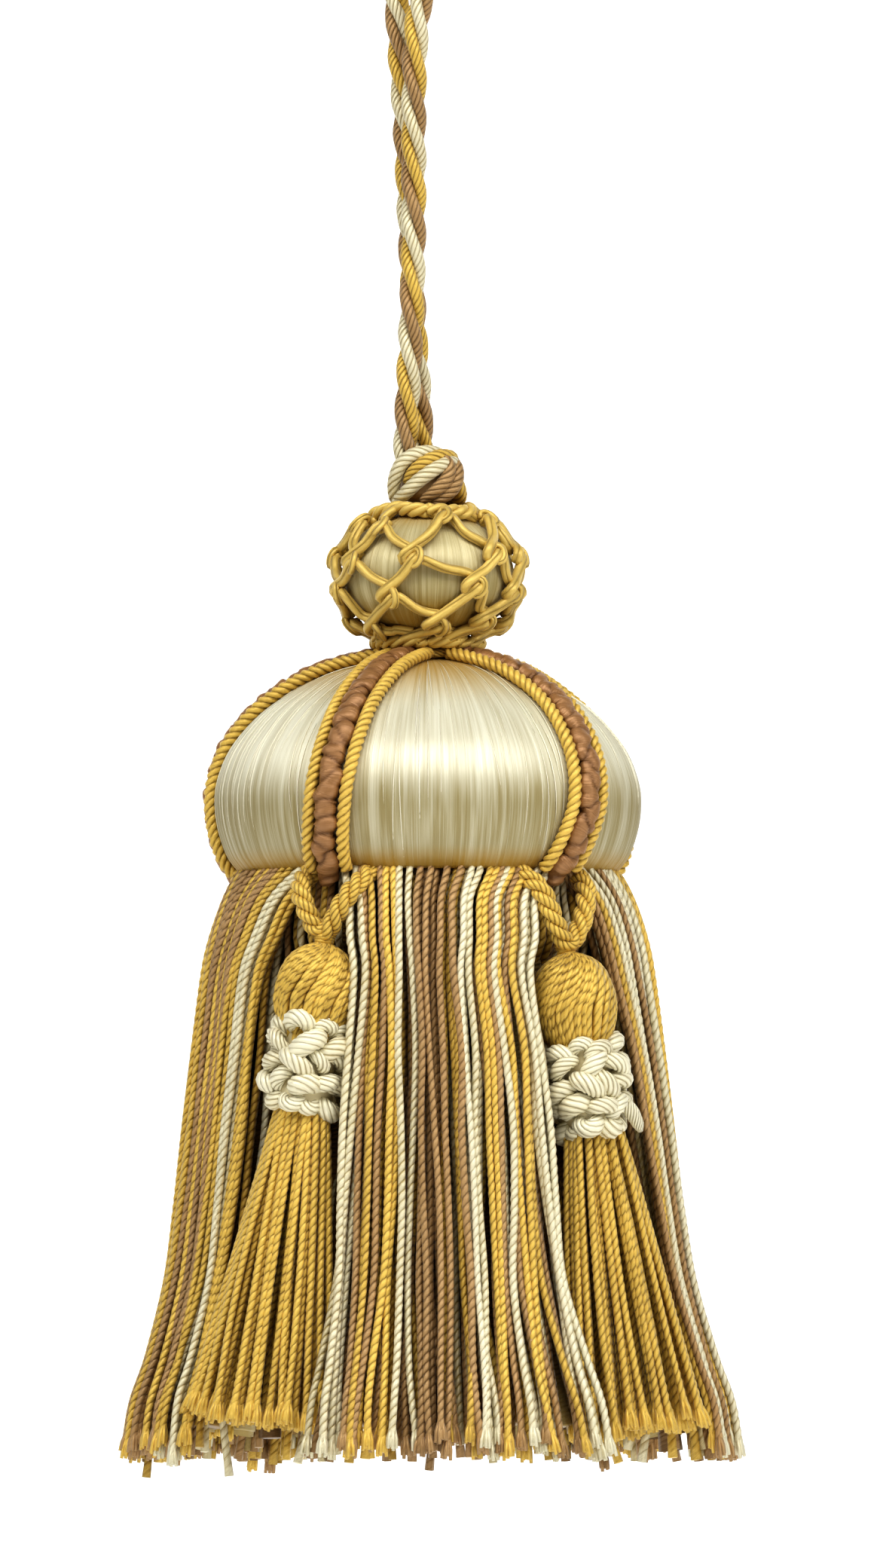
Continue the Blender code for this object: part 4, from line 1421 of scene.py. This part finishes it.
@dataclass
class Skirt:
    """The main skirt: curtains of yarn parted round the small tassels, and yarns behind them.

    Radii are those of the skirt at its heights. Edges has the azimuths of each curtain's two
    sides at the edge heights. Behind has the number of yarns in each layer that hangs all
    round. Tinted lists yarns that change colour: the curtain, the first and last share of the
    way across it, the old colour and the new one.
    """

    palette: Palette
    places: SmallPlace
    pitch: float = 3.1
    heights: tuple = (
        -168.2, -170.2, -174.7, -180.9, -187.0, -199.3, -211.6, -223.9, -236.1, -248.4, -256.0, -263.6,
    )
    radii: tuple = (29.0, 31.2, 33.4, 35.3, 36.4, 37.8, 39.3, 40.8, 42.6, 45.8, 48.3, 49.4)
    edge_heights: tuple = (-168.6, -174.7, -187.0, -200.0, -217.0, -240.0, -263.6)
    edges: tuple = (
        ((-29, -24, -20.6, -21.4, -21.8, -22.3, -22.8), (41, 31, 27, 29.6, 30.6, 31.6, 33.5)),
        ((42, 50, 55, 62, 65.5, 70, 74), (112, 107, 102, 100, 99, 98.5, 98)),
        ((114, 119, 124, 126, 127, 128, 129), (184, 179, 174, 172, 171, 170, 169)),
        ((186, 191, 196, 198, 199, 200, 201), (255, 250, 246, 245, 244.5, 244, 243.5)),
        ((257, 262, 266, 267, 267.5, 268, 268.5), (330, 319, 311, 309.5, 309, 308.5, 308)),
    )
    # The deeper curtains are painted darker, as painted shade inside the skirt.
    curtains: tuple = (
        Layer(1.42, 0.0, 0.2, YARN, 0.76, 0.0),
        Layer(1.45, 1.25, 1.2, BACK_YARN, 1.4, 0.26, 0.67, 0.4),
        Layer(1.9, 2.7, 2.4, BACK_YARN, 2.0, 0.6, 0.67, 0.9),
    )
    # The yarns that hang all round behind the curtains are painted darker, as painted shade.
    behind: tuple = (
        (118, Layer(0, 5.0, 1.5, BACK_YARN, 2.2, 0.3, 0.72, 0.9)),
        # These bundles are painted fully dark, a sheet of painted shade deep inside the skirt.
        (84, Layer(0, 9.0, 6.2, BUNDLE, 6.0, 1.0, 1.85, -3.0)),
    )
    tinted: tuple = (
        (4, 0.0, 0.4, CREAM, GOLD), (4, 0.4, 0.8, CREAM, TAUPE), (4, 0.81, 0.93, TAUPE, CREAM),
        (4, 0.95, 1.0, CREAM, GOLD), (1, 0.5, 0.8, CREAM, TAUPE), (0, 0.0, 0.06, TAUPE, CREAM),
        (0, 0.0, 0.06, GOLD, CREAM), (0, 0.94, 1.0, TAUPE, CREAM), (0, 0.94, 1.0, GOLD, CREAM),
    )
    middle_radius: float = 39.0
    rooms: tuple = (0.62, 0.7, 0.8, 1.0, 1.55, 1.8)
    straggle: float = 2.6
    straggles_above: float = 0.94
    frayed_inward: float = 2.0
    seed: int = 42
    tassel_depths: tuple = (-172.0, -183.0, -187.0, -195.0, -213.0, -218.0, -263.6)
    tassel_halves: tuple = (2.2, 3.2, 6.6, 7.3, 7.3, 4.6, 6.0)

    def radius_at(self, height: float) -> float:
        """The skirt's outer radius at a height, in millimetres."""
        return float(np.interp(-height, -np.array(self.heights), self.radii))

    def azimuth(self, sector: int, share: float, height: float) -> float:
        """The azimuth of a yarn that keeps its share of the way across its curtain.

        Args:
            sector: the curtain's number.
            share: the share, from 0 to 1.
            height: the height, in millimetres.

        Returns:
            The azimuth in degrees.
        """
        levels = -np.array(self.edge_heights)
        first, second = (float(np.interp(-height, levels, edge)) for edge in self.edges[sector])
        return first + share * (second - first)

    def clear(self, radius: float, azimuth: float, height: float) -> float:
        """A yarn's radius, drawn in where a small tassel hangs in front of it.

        Args:
            radius: the radius it would have, in millimetres.
            azimuth: its azimuth in degrees.
            height: the height, in millimetres.

        Returns:
            The radius in millimetres.
        """
        half = float(np.interp(-height, -np.array(self.tassel_depths), self.tassel_halves))
        for index in range(len(RIB_AZIMUTHS)):
            middle, centre = self.places.at(index, height)
            apart = math.radians(abs((azimuth - middle + 180) % 360 - 180)) * radius
            weight = min(1.0, max(0.0, (half + 4.5 - apart) / 3.5))
            radius = min(radius, radius + (centre - half - 0.9 - radius) * weight)
        return radius

    def route(self, dice: random.Random, sector: int | None, share: float, layer: Layer) -> Array:
        """One yarn's route, in metres.

        Args:
            dice: the source of its small differences.
            sector: its curtain, or None for a yarn that hangs all round.
            share: its share of the curtain, or of the whole turn.
            layer: its layer.

        Returns:
            The route.
        """
        wander = [dice.uniform(-1, 1) for _ in range(5)]
        deep = dice.uniform(-0.9, 0.7)
        straggle = self.straggle if wander[1] > self.straggles_above else 0.0
        end = SKIRT_END + dice.uniform(-1.1, 1.9) - layer.lower - straggle
        points = []
        for height in (*self.heights[:-1], end):
            fall = (self.heights[0] - height) / (self.heights[0] - SKIRT_END)
            ease = min(1.0, fall / 0.1)
            inward = layer.top_inward + (layer.inward - layer.top_inward) * ease
            radius = self.radius_at(height) - inward + deep * min(1, fall * 3)
            azimuth = 360 * share if sector is None else self.azimuth(sector, share, height)
            radius = self.clear(radius, azimuth, height) if sector is None else radius
            drift = wander[0] * math.sin(2.2 * math.pi * fall + 3 * wander[1]) * 1.2 * fall ** 0.5
            drift += wander[2] * 2.9 * fall ** 3
            drift += wander[4] * 0.45 * math.sin(5 * math.pi * fall)
            radius += wander[3] * 1.1 * fall ** 3
            points.append(polar(radius, azimuth + math.degrees(drift / radius), height))
        return smooth_route(np.array(points) * MM, layer.step * MM)

    def places_of(self, dice: random.Random) -> list[tuple[int | None, float, Layer]]:
        """Spreads the yarns.

        Args:
            dice: the source of their small differences.

        Returns:
            Each yarn's curtain, if it has one, its share of the way across, and its layer.
        """
        jobs = []
        for sector, (first, second) in enumerate(self.edges):
            width = math.radians(second[3] - first[3]) * self.middle_radius
            for layer in self.curtains:
                count = round(width / layer.spacing)
                rooms = [dice.choice(self.rooms) for _ in range(count)]
                at = 0.0
                for room in rooms:
                    jobs.append((sector, (at + room / 2) / sum(rooms), layer))
                    at += room
        for count, layer in self.behind:
            for k in range(count):
                jobs.append((None, (k + dice.uniform(-0.35, 0.35)) / count, layer))
        return jobs

    def colours(self, dice: random.Random, count: int) -> list[Colour]:
        """Gives the yarns colours, in short runs of the same.

        Args:
            dice: the source of the order.
            count: the number of yarns, at the least.

        Returns:
            The colour of each yarn in turn.
        """
        made = []
        while len(made) < count:
            group = [[CREAM] * dice.choice((1, 2, 2)), [CREAM], [GOLD] * dice.choice((1, 2)), [GOLD],
                     [TAUPE] * dice.choice((1, 2, 2)), [TAUPE], [GOLD, TAUPE]]
            dice.shuffle(group)
            made += [colour for run in group for colour in run]
        return made

    def build(self) -> None:
        """Hangs every yarn, each colour as its own piece."""
        dice = random.Random(self.seed)
        baskets = [Basket() for _ in Colour]
        hairs = [Basket() for _ in Colour]
        finishes = (self.palette.cream_yarn, self.palette.gold_yarn, self.palette.taupe_yarn)
        jobs = self.places_of(dice)
        for (sector, share, layer), colour in zip(jobs, self.colours(dice, len(jobs))):
            for where, first, last, old, new in self.tinted:
                colour = new if (sector, colour) == (where, old) and first <= share <= last else colour
            line = self.route(dice, sector, share, layer)
            middle = line[len(line) // 2]
            sides = plumb_sides(line, unit(np.array([middle[0], middle[1], 0.0])))
            radius, opening = brushed(line, layer.radius * dice.uniform(0.92, 1.06) * MM)
            # The layer's painted shade, plus a random difference for each yarn.
            tone = layer.tone + dice.uniform(-0.2, 0.2)
            phase = dice.uniform(0, NEARLY_A_TURN)
            baskets[colour.value].add_tube(line, radius, layer.section, self.pitch * MM, Twist.Z, sides,
                                           tone, phase, opening=opening)
            if layer.inward < self.frayed_inward:
                fray_end(hairs[colour.value], dice, line, layer.radius * MM, layer.tone)
        for colour, basket, hair, finish in zip(Colour, baskets, hairs, finishes):
            name = colour.name.lower()
            settle(basket.build(f"skirt_{name}", [finish]), "skirt_yarn", "skirt")
            settle(hair.build(f"skirt_fray_{name}", [finish]), "skirt_yarn", "skirt")


def brushed(line: Array, radius: float, length: float = 4.2, flare: float = 1.25) -> tuple[Array, Array]:
    """The size of a strand whose cut end opens into a brush.

    Args:
        line: the strand's route.
        radius: its radius.
        length: the brush's length, in millimetres.
        flare: how many times the radius it opens to.

    Returns:
        A radius for each point, and how far the plies are open there, from 0 to 1.
    """
    left = travelled(line[::-1])[::-1] / MM
    opening = np.clip(1 - left / length, 0, 1)
    return radius * (1 + (flare - 1) * opening**1.5), opening


def fray_end(basket: Basket, dice: random.Random, line: Array, radius: float, tone: float,
             locks: int = 5) -> None:
    """Opens a strand's cut end into locks of loose fibre.

    Args:
        basket: takes the locks.
        dice: the source of their small differences.
        line: the strand's route.
        radius: the strand's radius.
        tone: how much darker the strand is painted, as painted shade for strands deep inside.
        locks: the number of locks.
    """
    end = line[-1]
    way = unit(line[-1] - line[-3])
    first = dice.uniform(0, NEARLY_A_TURN)
    for k in range(locks):
        angle = first + k * 2 * math.pi / locks + dice.uniform(-0.4, 0.4)
        aside = np.array([math.cos(angle), math.sin(angle), 0.0]) * radius
        start = end - way * 2.9 * MM + aside * 0.55
        tip = end + way * dice.uniform(-0.1, 0.75) * MM + aside * dice.uniform(0.8, 1.45)
        middle = (start + tip) / 2 + aside * 0.12
        basket.add_tube(np.array([start, middle, tip]), np.array([0.24, 0.34, 0.27]) * MM, LOCK,
                        tone=tone + dice.uniform(-0.25, 0.15))


@dataclass
class SmallTassel:
    """A small tassel: its cord, wound head, knotted collar and skirt.

    Head is the outline of the wound head, as depth and radius. Rings has the number of yarns in
    each ring of the skirt, its share of the spread, their outline, how much painted shade darkens
    them (more for the inner rings) and step. Spread is half the skirt's width and depth at its
    foot. Lump rows has each row's height, its bow as in lump, and how far it stands off the neck.
    """

    palette: Palette
    places: SmallPlace
    index: int
    head: tuple = (
        (-0.9, 0.7), (0.0, 1.0), (0.5, 2.0), (1.5, 3.6), (3.2, 5.1), (6.2, 6.15), (9.4, 6.35), (12.4, 5.6),
        (15.0, 4.4), (17.5, 4.0),
    )
    head_yarns: int = 58
    head_radius: float = 0.54
    head_pitch: float = 3.6
    yarn_radius: float = 0.64
    pitch: float = 3.0
    tie_turns: int = 5
    # The inner rings are painted darker, as painted shade inside the small skirt.
    rings: tuple = (
        (24, 1.0, YARN, 0.0, 0.72), (20, 0.8, BACK_YARN, 0.2, 1.2), (13, 0.5, BACK_YARN, 0.45, 1.6),
    )
    top_depth: float = 25.0
    length: float = 78.0
    spread: tuple = (12.9, 5.6)
    top_spread: tuple = (3.6, 3.2)
    neck: float = 4.1
    lump_rows: tuple = (
        (-15.9, 1, 0.5), (-19.0, 0, 1.1), (-22.1, 0, 1.3), (-25.2, 0, 0.9), (-28.0, -1, -0.3),
    )
    lump_columns: int = 8
    collar_pitch: float = 8.5
    collar_lifts: tuple = (2.2, 0.0, 0.6, -0.4, 0.3)
    loose_index: int = 1
    loose_end: tuple = ((3.6, -4.6, -25.4), (4.6, -5.0, -27.2), (5.4, -5.0, -28.9), (5.9, -4.8, -30.2))
    cord_radius: float = 1.75
    cord_pitch: float = 8.0
    seed: int = 70

    def to_world(self, points: Array) -> Array:
        """Moves points in millimetres of the small tassel's frame to metres in the tassel's frame."""
        matrix = np.array(self.places.matrix(self.index))
        return points * MM @ matrix[:3, :3].T + matrix[:3, 3]

    def build_head(self, dice: random.Random) -> None:
        """Winds the head's yarns from the tie to under the collar.

        Args:
            dice: the source of their small differences.
        """
        basket = Basket()
        for k in range(self.head_yarns):
            angle = 2 * math.pi * (k + dice.uniform(-0.2, 0.2)) / self.head_yarns
            lean = dice.uniform(-0.1, 0.1) - 0.75
            lift = dice.uniform(-0.08, 0.16)
            points = []
            for depth, radius in self.head:
                at = angle + lean * min(1.0, max(0.0, depth) / 10)
                out = radius + lift * min(1.0, max(0.0, depth))
                points.append((out * math.sin(at), -out * math.cos(at), -depth))
            line = smooth_route(self.to_world(np.array(points)), 0.8 * MM)
            thin = np.interp(np.arange(len(line)), [0, 3, 8], [0.35, 0.6, 1.0])
            basket.add_tube(line, self.head_radius * MM * thin * 1.15, HEAD_YARN, self.head_pitch * MM,
                            tone=dice.uniform(-0.1, 0.32), phase=dice.uniform(0, NEARLY_A_TURN))
        fill = np.array([(0.0, 0.0, -d) for d in (0.6, 3, 6, 10, 14, 18)], dtype=float)
        line = smooth_route(self.to_world(fill), 1.0 * MM)
        swell = np.interp(np.linspace(0, 1, len(line)), [0, 0.2, 0.5, 0.8, 1.0], [1.0, 5.0, 6.0, 4.9, 3.8])
        # The core shows between the head's yarns and is painted darker, as painted shade.
        basket.add_tube(line, swell * MM, CORE, tone=0.35)
        for k in range(self.tie_turns):
            self.wind(basket, -1.3 + 0.5 * k, 1.5 - 0.1 * k, 0.36, dice)
        settle(basket.build(f"small_head_{self.index + 1}", [self.palette.gold_yarn]), "gold_yarn",
               f"small_tassel_{self.index + 1}")

    def wind(self, basket: Basket, depth: float, radius: float, thickness: float,
             dice: random.Random) -> None:
        """Adds one turn of tying thread.

        Args:
            basket: takes the thread.
            depth: how far below the small tassel's top, in millimetres.
            radius: the turn's radius.
            thickness: the thread's radius.
            dice: the source of its slant.
        """
        slant = dice.uniform(-0.35, 0.35)
        points = []
        for k in range(17):
            angle = 2 * math.pi * k / 16
            height = -depth + slant * math.sin(angle)
            points.append((radius * math.cos(angle), radius * math.sin(angle), height))
        basket.add_tube(self.to_world(np.array(points)), thickness * MM, ROUND, tone=0.1)

    def build_skirt(self, dice: random.Random) -> None:
        """Hangs the small tassel's own yarns from under its collar.

        Args:
            dice: the source of their small differences.
        """
        basket = Basket()
        hairs = Basket()
        for count, share, section, tone, step in self.rings:
            for k in range(count):
                angle = 2 * math.pi * (k + dice.uniform(-0.35, 0.35)) / count
                self.hang(basket, hairs, dice, angle, share * dice.uniform(0.93, 1.04), section, tone, step)
        name = f"small_tassel_{self.index + 1}"
        settle(basket.build(f"small_skirt_{self.index + 1}", [self.palette.gold_yarn]), "gold_yarn", name)
        settle(hairs.build(f"small_fray_{self.index + 1}", [self.palette.gold_yarn]), "gold_yarn", name)

    def hang(self, basket: Basket, hairs: Basket, dice: random.Random, angle: float, share: float,
             section: Section, tone: float, step: float) -> None:
        """Hangs one yarn.

        Args:
            basket: takes the yarn.
            hairs: takes its loose fibres.
            dice: the source of its small differences.
            angle: its place round the small tassel, in radians.
            share: its share of the spread.
            section: its outline.
            tone: how much darker it is painted, which is painted shade for the inner rings.
            step: the distance between two rings of its mesh, in millimetres.
        """
        (top_wide, top_deep), (wide, deep) = self.top_spread, self.spread
        end = self.length + dice.uniform(-1.3, 0.8)
        wander = [dice.uniform(-1, 1) for _ in range(4)]
        points = []
        for depth in (self.top_depth, 30.0, 36.0, 44.0, 54.0, 65.0, end):
            fall = (depth - self.top_depth) / (self.length - self.top_depth)
            half_wide = top_wide * share + (wide - top_wide) * share * fall**0.85
            half_deep = top_deep * share + (deep - top_deep) * share * fall**0.85
            x = half_wide * math.sin(angle) + wander[0] * 0.7 * math.sin(3.0 * fall + wander[1])
            x += wander[2] * 1.3 * fall**3
            y = -half_deep * math.cos(angle) + wander[3] * 0.9 * fall**2
            points.append((x, y, -depth))
        line = smooth_route(self.to_world(np.array(points)), step * MM)
        sides = plumb_sides(line, np.array([1.0, 0.0, 0.0]))
        radius, opening = brushed(line, self.yarn_radius * dice.uniform(0.94, 1.08) * MM, 4.8, 1.4)
        basket.add_tube(line, radius, section, self.pitch * MM, Twist.Z, sides,
                        tone + dice.uniform(-0.16, 0.16), dice.uniform(0, NEARLY_A_TURN), opening=opening)
        fray_end(hairs, dice, line, self.yarn_radius * 1.15 * MM, tone)

    def around_neck(self, angle: float, height: float, radius: float) -> tuple[float, float, float]:
        """A point round the neck, in the small tassel's frame."""
        return radius * math.sin(angle), -radius * math.cos(angle), height

    def lump(self, basket: Basket, dice: random.Random, angle: float, height: float, bow: int,
             out: float) -> None:
        """Adds one pass of the collar's cord, which rises over its neighbours and dips under them.

        Args:
            basket: takes the pass.
            dice: the source of its differences.
            angle: its place round the neck, in radians.
            height: the height of its middle, in millimetres.
            bow: 1 for a loop along the top edge, -1 for one along the bottom, 0 for a slanting pass.
            out: how far it stands off the neck, in millimetres.
        """
        out = self.neck + out + dice.uniform(-0.45, 0.45)
        thick = dice.uniform(1.2, 1.85)
        slant = math.radians(dice.choice((-1, 1, 1)) * dice.uniform(5, 60))
        half = dice.uniform(1.7, 3.0)
        points = []
        for share in np.linspace(-1, 1, 9):
            if bow:
                arc = share * math.radians(100)
                across = 1.6 * math.sin(arc)
                up = bow * (1.5 * math.cos(arc) - 0.8)
            else:
                across = half * share * math.cos(slant)
                up = half * share * math.sin(slant) + 0.5 * (1 - share**2)
            radius = out + 1.0 * (1 - abs(share) ** 2.2) - 0.9 * abs(share) ** 3
            points.append(self.around_neck(angle + across / self.neck * 0.82, height + up, radius))
        line = smooth_route(self.to_world(np.array(points)), 0.55 * MM)
        swell = 0.6 + 0.4 * np.sin(np.linspace(0.15, math.pi - 0.15, len(line))) ** 0.7
        uneven = np.array([dice.uniform(0.93, 1.07) for _ in line])
        basket.add_tube(line, thick * swell * uneven * MM, COLLAR_CORD, self.collar_pitch * MM,
                        tone=dice.uniform(-0.2, 0.12), phase=dice.uniform(0, NEARLY_A_TURN))

    def build_collar(self, dice: random.Random) -> None:
        """Knots the soft cord round the neck, row upon row.

        Args:
            dice: the source of its differences.
        """
        basket = Basket()
        lift = self.collar_lifts[self.index]
        for row, (height, bow, out) in enumerate(self.lump_rows):
            for k in range(self.lump_columns):
                angle = 2 * math.pi * (k + 0.5 * (row % 2) + dice.uniform(-0.2, 0.2)) / self.lump_columns
                self.lump(basket, dice, angle, height + lift + dice.uniform(-0.6, 0.6), bow, out)
        # The core shows between the collar's lumps and is painted dark, as painted shade in the hollows.
        core = np.array([(0.0, 0.0, z + lift) for z in (-14.6, -18.0, -22.0, -26.0, -29.6)])
        line = smooth_route(self.to_world(core), 1.5 * MM)
        basket.add_tube(line, (self.neck + 0.7) * MM, CORE, tone=0.6)
        if self.index == self.loose_index:
            tail = smooth_route(self.to_world(np.array(self.loose_end)), 0.4 * MM)
            swell = np.interp(np.linspace(0, 1, len(tail)), [0, 0.35, 0.8, 1.0], [1.3, 1.3, 0.95, 0.4])
            basket.add_tube(tail, swell * MM, LOOSE_CORD, 7.5 * MM)
        settle(basket.build(f"collar_knot_{self.index + 1}", [self.palette.soft_cord]), "cream_cord",
               f"collar_{self.index + 1}")

    def build_swag(self) -> None:
        """Twists the short cord that the small tassel hangs on."""
        out = self.places.radii[self.index] + 0.4
        foot = self.places.tops[self.index] + 1.6
        leg = ((-5.6, -27.4, -169.6), (-5.7, -30.4, -170.8), (-4.8, -out + 1.2, -173.2),
               (-3.2, -out, foot + 4.2), (-1.5, -out, foot + 1.2))
        route = [*leg, (0.0, -out, foot), *((-x, y, z) for x, y, z in reversed(leg))]
        turn = np.array(self.places.spoke(self.index).to_3x3())
        line = smooth_route(np.array(route) @ turn.T * MM, 0.4 * MM)
        sides = carried_sides(line, np.array([0.0, 0.0, 1.0]))
        basket = Basket()
        lay_plies(basket, line, sides, self.cord_radius * MM, self.cord_pitch * MM, Twist.S, (0, 0, 0),
                  3.6 * MM, section=SWAG_PLY)
        settle(basket.build(f"swag_twist_{self.index + 1}", [self.palette.gold_yarn]), "gold_cord",
               f"swag_{self.index + 1}")

    def build(self) -> None:
        """Builds the whole small tassel."""
        dice = random.Random(self.seed + self.index)
        self.build_swag()
        self.build_head(dice)
        self.build_collar(dice)
        self.build_skirt(dice)


def main() -> None:
    """Builds the studio and the tassel, piece by piece."""
    logging.basicConfig(level=logging.INFO, format="%(message)s")
    studio = Studio()
    studio.place_camera()
    palette = Palette()
    HangingCord(palette).build()
    TopKnot(palette).build()
    NettedBall(palette).build()
    Dome(palette).build()
    places = SmallPlace()
    Skirt(palette, places).build()
    for index in range(len(RIB_AZIMUTHS)):
        SmallTassel(palette, places, index).build()
    studio.build_floor()
    studio.light_up()


if __name__ == "__main__":
    main()
